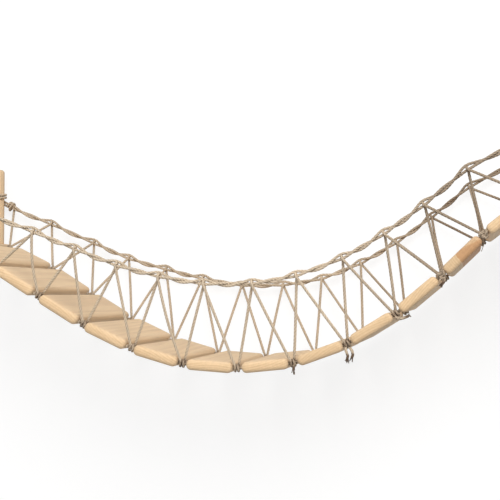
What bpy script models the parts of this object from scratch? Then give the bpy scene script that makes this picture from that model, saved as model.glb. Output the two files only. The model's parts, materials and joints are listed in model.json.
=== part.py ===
"""A rope bridge hung between two wooden shelves that are screwed to a wall.

Twelve wooden slats are threaded on two lower ropes. A zigzag cord on each side
is knotted round the lower rope in every gap and hangs over a hand rope of two
loosely twisted strands, which are wound round a post at each end.

X runs along the bridge, Y towards the wall and Z up. The wall is the plane
Y = 0, and the origin is the middle of the left shelf's back edge.
"""

import math

import bmesh
import bpy
import numpy as np
from mathutils import Matrix, Vector

MM = 0.001

# Slats, and how they hang. The tilts are read from left to right
SLAT_PITCH = 70.0 * MM
SLAT_WIDTH = 58.5 * MM
SLAT_LENGTH = 232.0 * MM
SLAT_THICKNESS = 13.5 * MM
SLAT_EDGE_RADIUS = 6.0 * MM
SLAT_END_CHAMFER = 3.0 * MM
END_EDGE_LIMIT_DEG = 60
SLAT_TILTS_DEG = (-26, -32, -31, -25, -16, -4, 6, 20, 32, 40, 44, 38)

# Cords
LOWER_ROPE_DIAMETER = 4.5 * MM
CORD_DIAMETER = 3.6 * MM
ROPE_FROM_SLAT_END = 11.0 * MM
HOLE_CLEARANCE = 0.4 * MM
CORD_CLEARANCE = 0.4 * MM
CORD_PART_GAP = 0.5 * MM

# Side nets: the height of each bend over its slat, and the way it leans
NET_HEIGHT = 103.0 * MM
NET_HEIGHT_SHARES = (0.58, 0.66, 0.77, 0.89, 0.98, 1.0, 1.0, 0.96, 0.9, 0.82, 0.74, 0.72)
NET_FLARE = 16.0 * MM
NET_LEANS_DEG = (25, 24, 17, 11, 4, -2, -8, -16, -22, -29, -36, -40)
KNOT_TURNS = 1.5
KNOT_PITCH = 4.8 * MM
KNOT_SLANT_SHARE = 0.3
KNOT_TAIL = 2.2 * MM
STOPPER_TUCK_SHARE = 0.5

# Hand ropes
ROPE_SAG = 3.5 * MM
STRAND_OFFSET = 2.5 * MM
TWIST_START_SHARE = 0.1
WINDING_TURNS = 1.5
WINDING_GAP = 0.5 * MM
WINDING_HEIGHT_LEFT = 61.0 * MM
WINDING_HEIGHT_RIGHT = 76.0 * MM
END_NODE_DROP = 7.0 * MM
END_NODE_BACK = 3.0 * MM

# End shelves
SHELF_LENGTH = 120.0 * MM
SHELF_THICKNESS = 16.0 * MM
SHELF_EDGE_RADIUS = 4.0 * MM
END_GAP = 9.5 * MM

# Posts and their screws
POST_DIAMETER = 25.0 * MM
POST_HEIGHT = 110.0 * MM
POST_TOP_RADIUS = 4.5 * MM
POST_FOOT_CHAMFER = 0.8 * MM
POST_INSET = 7.0 * MM
POST_STEP_OUT = 10.0 * MM
POST_EDGE_MARGIN = 8.0 * MM
SEAT_GAP = 0.3 * MM
SCREW_DIAMETER = 4.0 * MM
SCREW_HEAD_DIAMETER = 8.5 * MM
SCREW_HEAD_DEPTH = 3.0 * MM
SCREW_GRIP = 30.0 * MM
SCREW_POINT = 3.0 * MM

# Steel brackets under the shelves
BRACKET_WIDTH = 25.0 * MM
BRACKET_THICKNESS = 3.0 * MM
BRACKET_REACH = 150.0 * MM
BRACKET_DROP = 90.0 * MM
BRACKET_BEND_RADIUS = 4.0 * MM
BRACKET_CORNER_RADIUS = 8.0 * MM
BRACKET_HOLE_DIAMETER = 5.2 * MM
BRACKET_HOLE_FROM_END = 16.0 * MM
BRACKET_HOLE_FROM_BEND = 22.0 * MM
BRACKET_INSET = 37.0 * MM

# Fineness of the round forms
CUT_OVERRUN = 2.0 * MM
KNOT_POINTS = 8
WINDING_POINTS = 10
STRAND_POINTS = 4
HOLE_SIDES = 8
POST_SIDES = 16
SCREW_SIDES = 8
ROUND_STEPS = 3
TUBE_BEVEL_RESOLUTION = 1
SMOOTH_LIMIT_DEG = 35

# How finely a wound cord's gap to itself is measured, and which near stretch is passed over
GAP_STEPS_PER_DIAMETER = 8
GAP_SKIPPED_DIAMETERS = 3

SIDES = (("front", -1.0), ("back", 1.0))
SLAT_COUNT = len(SLAT_TILTS_DEG)
SIDE_SPACING = SLAT_LENGTH - 2 * ROPE_FROM_SLAT_END
POST_OUT = SIDE_SPACING / 2 + POST_STEP_OUT
POST_FROM_MIDDLE = SHELF_LENGTH / 2 - POST_INSET - POST_DIAMETER / 2
SHELF_DEPTH = 2 * (POST_OUT + POST_DIAMETER / 2 + POST_EDGE_MARGIN)
BRIDGE_Y = -SHELF_DEPTH / 2
HOLE_RADIUS = LOWER_ROPE_DIAMETER / 2 + HOLE_CLEARANCE
KNOT_RADIUS = (LOWER_ROPE_DIAMETER + CORD_DIAMETER) / 2 + CORD_CLEARANCE
KNOT_REACH = KNOT_RADIUS / math.cos(math.pi / KNOT_POINTS)
KNOT_HALF_LENGTH = KNOT_PITCH * (KNOT_SLANT_SHARE + KNOT_TURNS / 6) + CORD_DIAMETER / 2
LEG_RISE = SLAT_THICKNESS / 2 + CORD_DIAMETER / 2
LOOP_RADIUS = CORD_DIAMETER + CORD_CLEARANCE
LOOP_STEPS = KNOT_POINTS // 2
LOOP_REACH = LOOP_RADIUS / math.cos(math.pi / KNOT_POINTS)
STRAND_OPEN = (LOOP_RADIUS + LOOP_REACH) / 2
WINDING_PITCH = CORD_DIAMETER + WINDING_GAP
POST_WINDING_RADIUS = (POST_DIAMETER + CORD_DIAMETER) / 2 + SEAT_GAP


def clear_scene():
    for thing in list(bpy.data.objects):
        bpy.data.objects.remove(thing, do_unlink=True)


def make_material(name, colour, roughness, metallic=0.0):
    material = bpy.data.materials.new(name)
    material.use_nodes = True
    shader = material.node_tree.nodes["Principled BSDF"]
    shader.inputs["Base Color"].default_value = (*colour, 1.0)
    shader.inputs["Roughness"].default_value = roughness
    shader.inputs["Metallic"].default_value = metallic
    material.diffuse_color = (*colour, 1.0)
    return material


def add_object(name, data, material=None):
    thing = bpy.data.objects.new(name, data)
    bpy.context.collection.objects.link(thing)
    if material:
        data.materials.append(material)
    return thing


def mesh_from(name, bm):
    bmesh.ops.recalc_face_normals(bm, faces=bm.faces)
    mesh = bpy.data.meshes.new(name)
    bm.to_mesh(mesh)
    bm.free()
    return mesh


def smooth(mesh):
    mesh.shade_smooth()
    mesh.set_sharp_from_angle(angle=math.radians(SMOOTH_LIMIT_DEG))


def extruded(name, outline, length):
    """A closed mesh: an outline of (x, z) points drawn out along Y, centred on Y = 0."""
    bm = bmesh.new()
    ring = [bm.verts.new((x, -length / 2, z)) for x, z in outline]
    face = bm.faces.new(ring)
    drawn = bmesh.ops.extrude_face_region(bm, geom=[face])
    moved = [v for v in drawn["geom"] if isinstance(v, bmesh.types.BMVert)]
    bmesh.ops.translate(bm, verts=moved, vec=(0.0, length, 0.0))
    return mesh_from(name, bm)


def turned(name, profile, sides):
    """A closed mesh: a profile of (radius, z) points turned round Z. A zero radius is a tip."""
    bm = bmesh.new()
    rings = []
    for radius, height in profile:
        if radius == 0.0:
            rings.append([bm.verts.new((0.0, 0.0, height))])
            continue
        ring = []
        for step in range(sides):
            angle = 2 * math.pi * step / sides
            place = (radius * math.cos(angle), radius * math.sin(angle), height)
            ring.append(bm.verts.new(place))
        rings.append(ring)
    for lower, upper in zip(rings, rings[1:]):
        for step in range(sides):
            after = (step + 1) % sides
            corners = [lower[step % len(lower)], lower[after % len(lower)]]
            corners += [upper[after % len(upper)], upper[step % len(upper)]]
            bm.faces.new(list(dict.fromkeys(corners)))
    return mesh_from(name, bm)


def rounded_outline(width, height, radius, steps):
    """A rectangle in (x, z) with four rounded corners, anticlockwise."""
    points = []
    for number, (across, up) in enumerate(((1, -1), (1, 1), (-1, 1), (-1, -1))):
        for step in range(steps + 1):
            angle = math.radians(90 * (number - 1 + step / steps))
            x = across * (width / 2 - radius) + radius * math.cos(angle)
            z = up * (height / 2 - radius) + radius * math.sin(angle)
            points.append((x, z))
    return points


def drill(name, radius, length, sides=HOLE_SIDES):
    """A plain drill's mesh round Z. Its flats, not its corners, lie at the radius."""
    reach = radius / math.cos(math.pi / sides)
    profile = [(0.0, -length / 2), (reach, -length / 2), (reach, length / 2), (0.0, length / 2)]
    return turned(name, profile, sides)


def guide(name, mesh, material=None):
    """An object that only cuts or is copied, and isn't a piece of the bridge."""
    thing = add_object(name, mesh, material)
    thing.hide_render = True
    thing.display_type = "WIRE"
    return thing


def cut(thing, name, mesh, matrix):
    tool = guide(name, mesh)
    tool.matrix_world = matrix
    boolean = thing.modifiers.new("cut_" + name, "BOOLEAN")
    boolean.operation = "DIFFERENCE"
    boolean.solver = "EXACT"
    boolean.object = tool


def cut_rope_hole(thing, name, side, length):
    """A hole along X for a lower rope, right through a slat or a shelf."""
    along_x = Matrix.Rotation(math.radians(90), 4, "Y") @ Matrix.Rotation(math.pi / HOLE_SIDES, 4, "Z")
    place = Matrix.Translation((0.0, side * SIDE_SPACING / 2, 0.0)) @ along_x
    cut(thing, name, drill(name, HOLE_RADIUS, length + CUT_OVERRUN), place)


def finished_mesh(thing, name):
    """The object's mesh with its modifiers applied, as a mesh that copies can share."""
    bpy.context.view_layer.update()
    graph = bpy.context.evaluated_depsgraph_get()
    mesh = bpy.data.meshes.new_from_object(thing.evaluated_get(graph))
    mesh.name = name
    return mesh


def tube(name, points, diameter, material):
    curve = bpy.data.curves.new(name, "CURVE")
    curve.dimensions = "3D"
    curve.bevel_depth = diameter / 2
    curve.bevel_resolution = TUBE_BEVEL_RESOLUTION
    curve.use_fill_caps = True
    spline = curve.splines.new("POLY")
    spline.points.add(len(points) - 1)
    for target, point in zip(spline.points, points):
        target.co = (*point, 1.0)
    return add_object(name, curve, material)


class Station:
    """A place on the bridge, with the directions along it, up from it and out of the walkway."""

    def __init__(self, origin, tilt, side):
        self.origin = origin
        self.along = Vector((math.cos(tilt), 0.0, math.sin(tilt)))
        self.up = Vector((-math.sin(tilt), 0.0, math.cos(tilt)))
        self.out = Vector((0.0, side, 0.0))

    def at(self, along=0.0, out=0.0, up=0.0):
        return self.origin + self.along * along + self.out * out + self.up * up


def slat_tilt(number):
    """A slat's tilt in radians. The shelves at both ends are level."""
    if 0 <= number < SLAT_COUNT:
        return math.radians(SLAT_TILTS_DEG[number])
    return 0.0


def pivot_points():
    """The (x, z) of each pivot: the first by the left shelf, then one after every slat."""
    x = SHELF_LENGTH / 2 + END_GAP
    z = 0.0
    points = [(x, z)]
    for number in range(SLAT_COUNT):
        x += SLAT_PITCH * math.cos(slat_tilt(number))
        z += SLAT_PITCH * math.sin(slat_tilt(number))
        points.append((x, z))
    return points


PIVOTS = pivot_points()
SHELVES = (
    ("left", 1.0, 0.0, 0.0, WINDING_HEIGHT_LEFT),
    ("right", -1.0, PIVOTS[-1][0] + END_GAP + SHELF_LENGTH / 2, PIVOTS[-1][1], WINDING_HEIGHT_RIGHT),
)


def knot_station(number, side):
    """The gap after slat number - 1, where the net's cord is knotted round the lower rope."""
    x, z = PIVOTS[number]
    tilt = (slat_tilt(number - 1) + slat_tilt(number)) / 2
    return Station(Vector((x, BRIDGE_Y + side * SIDE_SPACING / 2, z)), tilt, side)


def slat_centre(number):
    (x0, z0), (x1, z1) = PIVOTS[number], PIVOTS[number + 1]
    return Vector(((x0 + x1) / 2, BRIDGE_Y, (z0 + z1) / 2))


def bend_place(number, side):
    """Where the net's cord bends over the hand rope, above a slat."""
    height = NET_HEIGHT * NET_HEIGHT_SHARES[number]
    lean = math.radians(NET_LEANS_DEG[number])
    out = Vector((0.0, side * (SIDE_SPACING / 2 + NET_FLARE), 0.0))
    return slat_centre(number) + Vector((math.sin(lean), 0.0, math.cos(lean))) * height + out


def post_centre(end):
    """The (x, z) of a post's foot."""
    _, inward, x, z, _ = SHELVES[end]
    return x + inward * POST_FROM_MIDDLE, z + SHELF_THICKNESS / 2


def post_y(side):
    return BRIDGE_Y + side * POST_OUT


def winding_exit(end, side):
    """Where the lower strand leaves its post, on the outer side."""
    x, z = post_centre(end)
    height = z + SHELVES[end][4] + CORD_DIAMETER / 2
    return Vector((x, post_y(side) + side * POST_WINDING_RADIUS, height))


def end_node(end, side):
    """Where the net's first or last leg is tied to the hand rope, beside the post."""
    x, _ = PIVOTS[0] if end == 0 else PIVOTS[-1]
    height = winding_exit(end, side).z - END_NODE_DROP
    out = SIDE_SPACING / 2 + NET_FLARE
    return Vector((x - SHELVES[end][1] * END_NODE_BACK, BRIDGE_Y + side * out, height))


def rope_nodes(side):
    """The hand rope's fixed places: its two end nodes and the net's bends between them."""
    bends = [bend_place(number, side) for number in range(SLAT_COUNT)]
    return [end_node(0, side), *bends, end_node(1, side)]


def rope_station(number, side):
    """A fixed place of the hand rope, turned the way the rope runs there."""
    nodes = rope_nodes(side)
    run = nodes[min(number + 1, len(nodes) - 1)] - nodes[max(number - 1, 0)]
    return Station(nodes[number], math.atan2(run.z, run.x), side)


def knot_along(angle):
    """How far along the lower rope the knot's cord lies. Its turns lean, to keep in the gap."""
    turned_by = (angle - math.pi * KNOT_TURNS) / (2 * math.pi)
    return KNOT_PITCH * (turned_by + KNOT_SLANT_SHARE * math.cos(angle))


def knot_points(station):
    """The cord's turns round the lower rope, from the outer side, under it, to the inner side."""
    points = []
    for step in range(round(KNOT_TURNS * KNOT_POINTS) + 1):
        angle = 2 * math.pi * step / KNOT_POINTS
        out = KNOT_REACH * math.cos(angle)
        up = -KNOT_REACH * math.sin(angle)
        points.append(station.at(knot_along(angle), out, up))
    return points


def leg_foot(station, up):
    """A point of the leg that rises from a knot's inner side."""
    return station.at(knot_along(2 * math.pi * KNOT_TURNS), -KNOT_REACH, up)


def leg_arrival(station, up):
    """A point of the leg that comes down to a knot's outer side."""
    return station.at(knot_along(0.0), KNOT_REACH, up)


def loop_points(station):
    """The bend over the hand rope's lower strand, from the inner side to the outer side."""
    points = []
    for step in range(LOOP_STEPS + 1):
        angle = math.pi * step / LOOP_STEPS
        out = -LOOP_REACH * math.cos(angle)
        up = -STRAND_OPEN + LOOP_REACH * math.sin(angle)
        points.append(station.at(0.0, out, up))
    return points


def net_bay(number, side):
    """One bay of the net: up from one knot, over the hand rope, down to the next knot."""
    start = knot_station(number, side)
    finish = knot_station(number + 1, side)
    points = [leg_foot(start, KNOT_TAIL + CORD_PART_GAP), leg_foot(start, LEG_RISE)]
    points += loop_points(rope_station(number + 1, side))
    points += [leg_arrival(finish, LEG_RISE)]
    points += knot_points(finish)
    points += [leg_foot(finish, KNOT_TAIL)]
    return points


def hitch_points(station):
    """One and a half turns round both strands of the hand rope, from under it to the outer side."""
    radius = STRAND_OFFSET + CORD_DIAMETER + CORD_CLEARANCE
    reach = radius / math.cos(math.pi / KNOT_POINTS)
    points = []
    for step in range(round(KNOT_TURNS * KNOT_POINTS) + 1):
        angle = 2 * math.pi * (step / KNOT_POINTS - KNOT_TURNS)
        along = KNOT_PITCH * (angle / (2 * math.pi) + KNOT_TURNS / 2)
        points.append(station.at(along, reach * math.cos(angle), -reach * math.sin(angle)))
    return points


def net_start(side):
    """The net's first leg, from the hand rope beside the left post down to the first knot."""
    first = knot_station(0, side)
    points = hitch_points(rope_station(0, side))
    points += [leg_arrival(first, LEG_RISE)]
    points += knot_points(first)
    points += [leg_foot(first, KNOT_TAIL)]
    return points


def net_finish(side):
    """The net's last leg, from the last knot up to the hand rope beside the right post."""
    last = knot_station(SLAT_COUNT, side)
    top = rope_station(SLAT_COUNT + 1, side)
    mirrored = Station(top.origin, 0.0, -side)
    mirrored.along = -top.along
    mirrored.up = top.up
    points = [leg_foot(last, KNOT_TAIL + CORD_PART_GAP), leg_foot(last, LEG_RISE)]
    points += reversed(hitch_points(mirrored))
    return points


def winding_points(end, side, strand):
    """A strand's turns round a post, from its loose end to the place where it leaves."""
    x, _ = post_centre(end)
    inward = SHELVES[end][1]
    reach = POST_WINDING_RADIUS / math.cos(math.pi / WINDING_POINTS)
    height = winding_exit(end, side).z + strand * WINDING_PITCH
    points = []
    steps = round(WINDING_TURNS * WINDING_POINTS)
    for step in range(steps + 1):
        turns_left = (steps - step) / WINDING_POINTS
        angle = 2 * math.pi * turns_left
        dx = -inward * reach * math.sin(angle)
        dy = side * reach * math.cos(angle)
        z = height + 2 * WINDING_PITCH * turns_left
        points.append(Vector((x + dx, post_y(side) + dy, z)))
    return points


def strand_point(side, bay, share, phase):
    """A point of one strand of the hand rope, at a share of the way along a bay."""
    nodes = rope_nodes(side)
    start = rope_station(bay, side)
    finish = rope_station(bay + 1, side)
    middle = nodes[bay].lerp(nodes[bay + 1], share)
    middle.z -= ROPE_SAG * math.sin(math.pi * share)
    eased = min(max((share - TWIST_START_SHARE) / (1 - 2 * TWIST_START_SHARE), 0.0), 1.0)
    angle = math.pi * (bay + eased * eased * (3 - 2 * eased)) + phase
    at_bend = (1.0 if bay > 0 else 0.0) if share < 0.5 else (1.0 if bay < SLAT_COUNT else 0.0)
    offset = STRAND_OFFSET + at_bend * (STRAND_OPEN - STRAND_OFFSET) * math.cos(math.pi * share) ** 2
    up = start.up.lerp(finish.up, share).normalized()
    return middle + up * (-offset * math.cos(angle)) + start.out * (offset * math.sin(angle))


def hand_strand(side, strand):
    """One strand of a hand rope, from its winding on the left post to that on the right post."""
    phase = math.pi * strand
    points = winding_points(0, side, strand)
    for bay in range(SLAT_COUNT + 1):
        for step in range(STRAND_POINTS):
            points.append(strand_point(side, bay, step / STRAND_POINTS, phase))
    points.append(strand_point(side, SLAT_COUNT, 1.0, phase))
    right = 1 - strand if SLAT_COUNT % 2 else strand
    points += reversed(winding_points(1, side, 1 - right))
    return points


def stopper_points(end, side):
    """The rope's end knot on a shelf's outer edge: out along its own line, then wound back."""
    _, inward, x, z, _ = SHELVES[end]
    seat = x - inward * SHELF_LENGTH / 2
    y = BRIDGE_Y + side * SIDE_SPACING / 2
    reach = (LOWER_ROPE_DIAMETER + CORD_CLEARANCE) / math.cos(math.pi / KNOT_POINTS)
    pitch = LOWER_ROPE_DIAMETER + 2 * CORD_CLEARANCE
    foot = LOWER_ROPE_DIAMETER / 2 + SEAT_GAP
    steps = round(KNOT_TURNS * KNOT_POINTS)
    points = []
    for step in range(steps + 1):
        turn = step / KNOT_POINTS
        angle = 2 * math.pi * turn
        out = foot + pitch * turn
        aside = side * reach * math.sin(angle)
        up = -reach * math.cos(angle)
        points.append(Vector((seat - inward * out, y + aside, z + up)))
    top = foot + pitch * KNOT_TURNS
    points.append(Vector((seat - inward * (top + LOWER_ROPE_DIAMETER), y, z + reach * STOPPER_TUCK_SHARE)))
    points.append(Vector((seat - inward * top, y, z)))
    return points


def lower_rope(side):
    """A lower rope, knotted on both shelves' outer edges and threaded through every slat."""
    y = BRIDGE_Y + side * SIDE_SPACING / 2
    points = stopper_points(0, side)
    points.append(Vector((SHELF_LENGTH / 2, y, 0.0)))
    for number in range(SLAT_COUNT + 1):
        knot = knot_station(number, side)
        points += [knot.at(-KNOT_HALF_LENGTH), knot.at(KNOT_HALF_LENGTH)]
        if number < SLAT_COUNT:
            slat = Station(slat_centre(number), slat_tilt(number), side)
            points.append(slat.at(-SLAT_WIDTH / 2, SIDE_SPACING / 2))
            points.append(slat.at(SLAT_WIDTH / 2, SIDE_SPACING / 2))
    _, inward, x, z, _ = SHELVES[1]
    points.append(Vector((x + inward * SHELF_LENGTH / 2, y, z)))
    points += reversed(stopper_points(1, side))
    return points


def least_gap(points, diameter):
    """The least gap in metres between a wound cord's surfaces, apart from stretches next to it."""
    dense = []
    for start, finish in zip(points, points[1:]):
        count = max(2, round((finish - start).length * GAP_STEPS_PER_DIAMETER / diameter))
        dense += [start.lerp(finish, step / count) for step in range(count)]
    places = np.array([tuple(point) for point in dense])
    steps = np.linalg.norm(np.diff(places, axis=0), axis=1)
    travelled = np.concatenate([[0.0], np.cumsum(steps)])
    gaps = np.linalg.norm(places[:, None] - places[None], axis=2) - diameter
    beside = np.abs(travelled[:, None] - travelled[None]) < GAP_SKIPPED_DIAMETERS * diameter
    return float(gaps[~beside].min())


def print_gap(name, points, diameter):
    print("%s: least gap to itself %.2f mm" % (name, least_gap(points, diameter) / MM))


def make_slats(wood):
    outline = rounded_outline(SLAT_WIDTH, SLAT_THICKNESS, SLAT_EDGE_RADIUS, ROUND_STEPS)
    blank = guide("slat_blank", extruded("slat_blank", outline, SLAT_LENGTH), wood)
    ease = blank.modifiers.new("eased_ends", "BEVEL")
    ease.width = SLAT_END_CHAMFER
    ease.segments = 1
    ease.limit_method = "ANGLE"
    ease.angle_limit = math.radians(END_EDGE_LIMIT_DEG)
    for name, side in SIDES:
        cut_rope_hole(blank, "slat_drill_" + name, side, SLAT_WIDTH)
    mesh = finished_mesh(blank, "slat")
    smooth(mesh)
    for number in range(SLAT_COUNT):
        slat = add_object("slat_%02d" % (number + 1), mesh)
        slat.location = slat_centre(number)
        slat.rotation_euler = (0.0, -slat_tilt(number), 0.0)


def make_nets(cord):
    for name, side in SIDES:
        bays = [("start", net_start(side))]
        for number in range(SLAT_COUNT):
            bays.append(("%02d" % (number + 1), net_bay(number, side)))
        bays.append(("finish", net_finish(side)))
        for label, points in bays:
            tube("net_%s_%s" % (name, label), points, CORD_DIAMETER, cord)
            print_gap("net_%s_%s" % (name, label), points, CORD_DIAMETER)


def make_ropes(cord):
    for name, side in SIDES:
        ropes = [("lower_rope_" + name, lower_rope(side), LOWER_ROPE_DIAMETER)]
        for strand, letter in enumerate("ab"):
            ropes.append(("hand_rope_%s_%s" % (name, letter), hand_strand(side, strand), CORD_DIAMETER))
        for label, points, diameter in ropes:
            tube(label, points, diameter, cord)
            print_gap(label, points, diameter)


def shelf_mesh(wood):
    """The end shelf's board, its middle at the origin: drilled for the ropes and the post screws."""
    outline = rounded_outline(SHELF_LENGTH, SHELF_THICKNESS, SHELF_EDGE_RADIUS, ROUND_STEPS)
    blank = guide("shelf_blank", extruded("shelf_blank", outline, SHELF_DEPTH), wood)
    wide = SCREW_HEAD_DIAMETER / 2 + SEAT_GAP
    narrow = SCREW_DIAMETER / 2 + SEAT_GAP
    face = SHELF_THICKNESS / 2
    outside = face + CUT_OVERRUN
    profile = [(0.0, -outside), (wide, -outside), (wide, -face + SEAT_GAP)]
    profile += [(narrow, -face + SEAT_GAP + SCREW_HEAD_DEPTH), (narrow, outside), (0.0, outside)]
    for name, side in SIDES:
        cut_rope_hole(blank, "shelf_drill_" + name, side, SHELF_LENGTH)
        place = Matrix.Translation((POST_FROM_MIDDLE, side * POST_OUT, 0.0))
        cut(blank, "screw_drill_" + name, turned("screw_drill", profile, SCREW_SIDES), place)
    mesh = finished_mesh(blank, "shelf")
    smooth(mesh)
    return mesh


def post_mesh():
    """A turned post with a rounded top, a chamfered foot and the screw's blind hole."""
    radius = POST_DIAMETER / 2
    hole = SCREW_DIAMETER / 2 + SEAT_GAP
    deep = SCREW_GRIP + SEAT_GAP
    profile = [(0.0, deep), (hole, deep - hole), (hole, 0.0), (radius - POST_FOOT_CHAMFER, 0.0)]
    profile.append((radius, POST_FOOT_CHAMFER))
    for step in range(ROUND_STEPS + 1):
        angle = math.pi / 2 * step / ROUND_STEPS
        out = radius - POST_TOP_RADIUS * (1 - math.cos(angle))
        profile.append((out, POST_HEIGHT - POST_TOP_RADIUS * (1 - math.sin(angle))))
    profile.append((0.0, POST_HEIGHT))
    mesh = turned("post", profile, POST_SIDES)
    smooth(mesh)
    return mesh


def screw_mesh():
    """A countersunk wood screw, its head's face at Z = 0 and its point up."""
    head = SCREW_HEAD_DIAMETER / 2
    shank = SCREW_DIAMETER / 2
    tip = SHELF_THICKNESS + SCREW_GRIP - SCREW_POINT
    profile = [(0.0, 0.0), (head, 0.0), (shank, SCREW_HEAD_DEPTH)]
    profile += [(shank, tip - SCREW_POINT), (0.0, tip)]
    return turned("post_screw", profile, SCREW_SIDES)


def bracket_outline():
    """The bent strip seen from its end, as (y, z): the wall leg down, the shelf leg out to -Y."""
    outer = BRACKET_BEND_RADIUS + BRACKET_THICKNESS
    points = [(0.0, -BRACKET_DROP), (-BRACKET_THICKNESS, -BRACKET_DROP)]
    for step in range(ROUND_STEPS + 1):
        angle = math.pi / 2 * step / ROUND_STEPS
        y = -outer + BRACKET_BEND_RADIUS * math.cos(angle)
        points.append((y, -outer + BRACKET_BEND_RADIUS * math.sin(angle)))
    points += [(-BRACKET_REACH, -BRACKET_THICKNESS), (-BRACKET_REACH, 0.0)]
    for step in range(ROUND_STEPS + 1):
        angle = math.pi / 2 * (1 - step / ROUND_STEPS)
        points.append((-outer + outer * math.cos(angle), -outer + outer * math.sin(angle)))
    return points


def bracket_mesh(steel):
    """A bent steel strip with rounded ends and two screw holes in each leg."""
    bm = bmesh.new()
    ring = [bm.verts.new((-BRACKET_WIDTH / 2, y, z)) for y, z in bracket_outline()]
    face = bm.faces.new(ring)
    drawn = bmesh.ops.extrude_face_region(bm, geom=[face])
    moved = [v for v in drawn["geom"] if isinstance(v, bmesh.types.BMVert)]
    bmesh.ops.translate(bm, verts=moved, vec=(BRACKET_WIDTH, 0.0, 0.0))
    corners = []
    for edge in bm.edges:
        a, b = edge.verts
        thick = abs(edge.calc_length() - BRACKET_THICKNESS) < SEAT_GAP
        at_reach = max(a.co.y, b.co.y) < -BRACKET_REACH + BRACKET_THICKNESS / 2
        at_drop = max(a.co.z, b.co.z) < -BRACKET_DROP + BRACKET_THICKNESS / 2
        if thick and (at_reach or at_drop):
            corners.append(edge)
    rounding = dict(offset=BRACKET_CORNER_RADIUS, segments=ROUND_STEPS, affect="EDGES", profile=0.5)
    bmesh.ops.bevel(bm, geom=corners, **rounding)
    blank = guide("bracket_blank", mesh_from("bracket_blank", bm), steel)
    hole = drill("bracket_drill", BRACKET_HOLE_DIAMETER / 2, BRACKET_THICKNESS + CUT_OVERRUN)
    middle = BRACKET_THICKNESS / 2
    along_y = Matrix.Rotation(math.radians(90), 4, "X")
    near = BRACKET_HOLE_FROM_BEND
    places = [
        Matrix.Translation((0.0, -middle, -near)) @ along_y,
        Matrix.Translation((0.0, -middle, -BRACKET_DROP + BRACKET_HOLE_FROM_END)) @ along_y,
        Matrix.Translation((0.0, -near, -middle)),
        Matrix.Translation((0.0, -BRACKET_REACH + BRACKET_HOLE_FROM_END, -middle)),
    ]
    for number, place in enumerate(places):
        cut(blank, "bracket_drill_%d" % number, hole, place)
    return finished_mesh(blank, "bracket")


def make_ends(wood, steel):
    board = shelf_mesh(wood)
    post = post_mesh()
    post.materials.append(wood)
    screw = screw_mesh()
    screw.materials.append(steel)
    bracket = bracket_mesh(steel)
    for end, (end_name, _, x, z, _) in enumerate(SHELVES):
        shelf = add_object("shelf_" + end_name, board)
        shelf.location = (x, BRIDGE_Y, z)
        shelf.rotation_euler = (0.0, 0.0, math.pi * end)
        for name, side in SIDES:
            post_x, post_z = post_centre(end)
            standing = add_object("post_%s_%s" % (end_name, name), post)
            standing.location = (post_x, post_y(side), post_z + SEAT_GAP)
            fixing = add_object("post_screw_%s_%s" % (end_name, name), screw)
            fixing.location = (post_x, post_y(side), z - SHELF_THICKNESS / 2)
        for number, hand in enumerate((-1, 1)):
            holder = add_object("bracket_%s_%d" % (end_name, number + 1), bracket)
            across = hand * (SHELF_LENGTH / 2 - BRACKET_INSET)
            holder.location = (x + across, 0.0, z - SHELF_THICKNESS / 2 - SEAT_GAP)


def main():
    clear_scene()
    wood = make_material("pine", (0.80, 0.60, 0.36), 0.5)
    cord = make_material("cotton_cord", (0.55, 0.44, 0.30), 0.85)
    steel = make_material("zinc_steel", (0.62, 0.62, 0.63), 0.35, 1.0)
    make_slats(wood)
    make_nets(cord)
    make_ropes(cord)
    make_ends(wood, steel)


main()
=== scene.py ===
"""The looks of a rope bridge that hangs on a wall between two wooden shelves.

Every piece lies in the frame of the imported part: X along the bridge, Y into
the wall and Z up, in metres. The wall is the plane Y = 0.
"""

import json
import math
import random
from collections import namedtuple

import bmesh
import bpy
from mathutils import Matrix, Vector, noise

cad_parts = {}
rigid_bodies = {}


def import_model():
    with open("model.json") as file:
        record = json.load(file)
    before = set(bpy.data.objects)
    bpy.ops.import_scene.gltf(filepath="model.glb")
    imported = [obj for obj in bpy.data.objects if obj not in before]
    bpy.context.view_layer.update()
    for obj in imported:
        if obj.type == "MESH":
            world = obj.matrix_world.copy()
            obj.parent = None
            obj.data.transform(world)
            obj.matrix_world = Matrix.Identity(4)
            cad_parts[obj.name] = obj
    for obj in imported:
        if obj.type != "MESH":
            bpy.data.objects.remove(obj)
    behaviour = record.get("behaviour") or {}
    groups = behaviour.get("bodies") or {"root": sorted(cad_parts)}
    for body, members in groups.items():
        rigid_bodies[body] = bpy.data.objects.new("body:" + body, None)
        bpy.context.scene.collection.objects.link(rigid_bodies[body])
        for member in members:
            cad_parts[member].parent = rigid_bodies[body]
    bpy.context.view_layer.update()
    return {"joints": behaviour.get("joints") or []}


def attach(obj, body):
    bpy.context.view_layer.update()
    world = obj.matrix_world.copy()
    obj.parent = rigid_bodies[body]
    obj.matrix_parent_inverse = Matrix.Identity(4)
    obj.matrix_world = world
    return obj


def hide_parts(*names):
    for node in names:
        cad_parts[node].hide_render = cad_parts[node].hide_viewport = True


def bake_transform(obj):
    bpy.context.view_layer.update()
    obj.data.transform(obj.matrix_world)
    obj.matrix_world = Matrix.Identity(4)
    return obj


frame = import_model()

MM = 0.001

# The sides of the walkway, as directions along Y. The back side is the wall's
FRONT = -1.0
BACK = 1.0
SIDES = (("front", FRONT), ("back", BACK))

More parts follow.
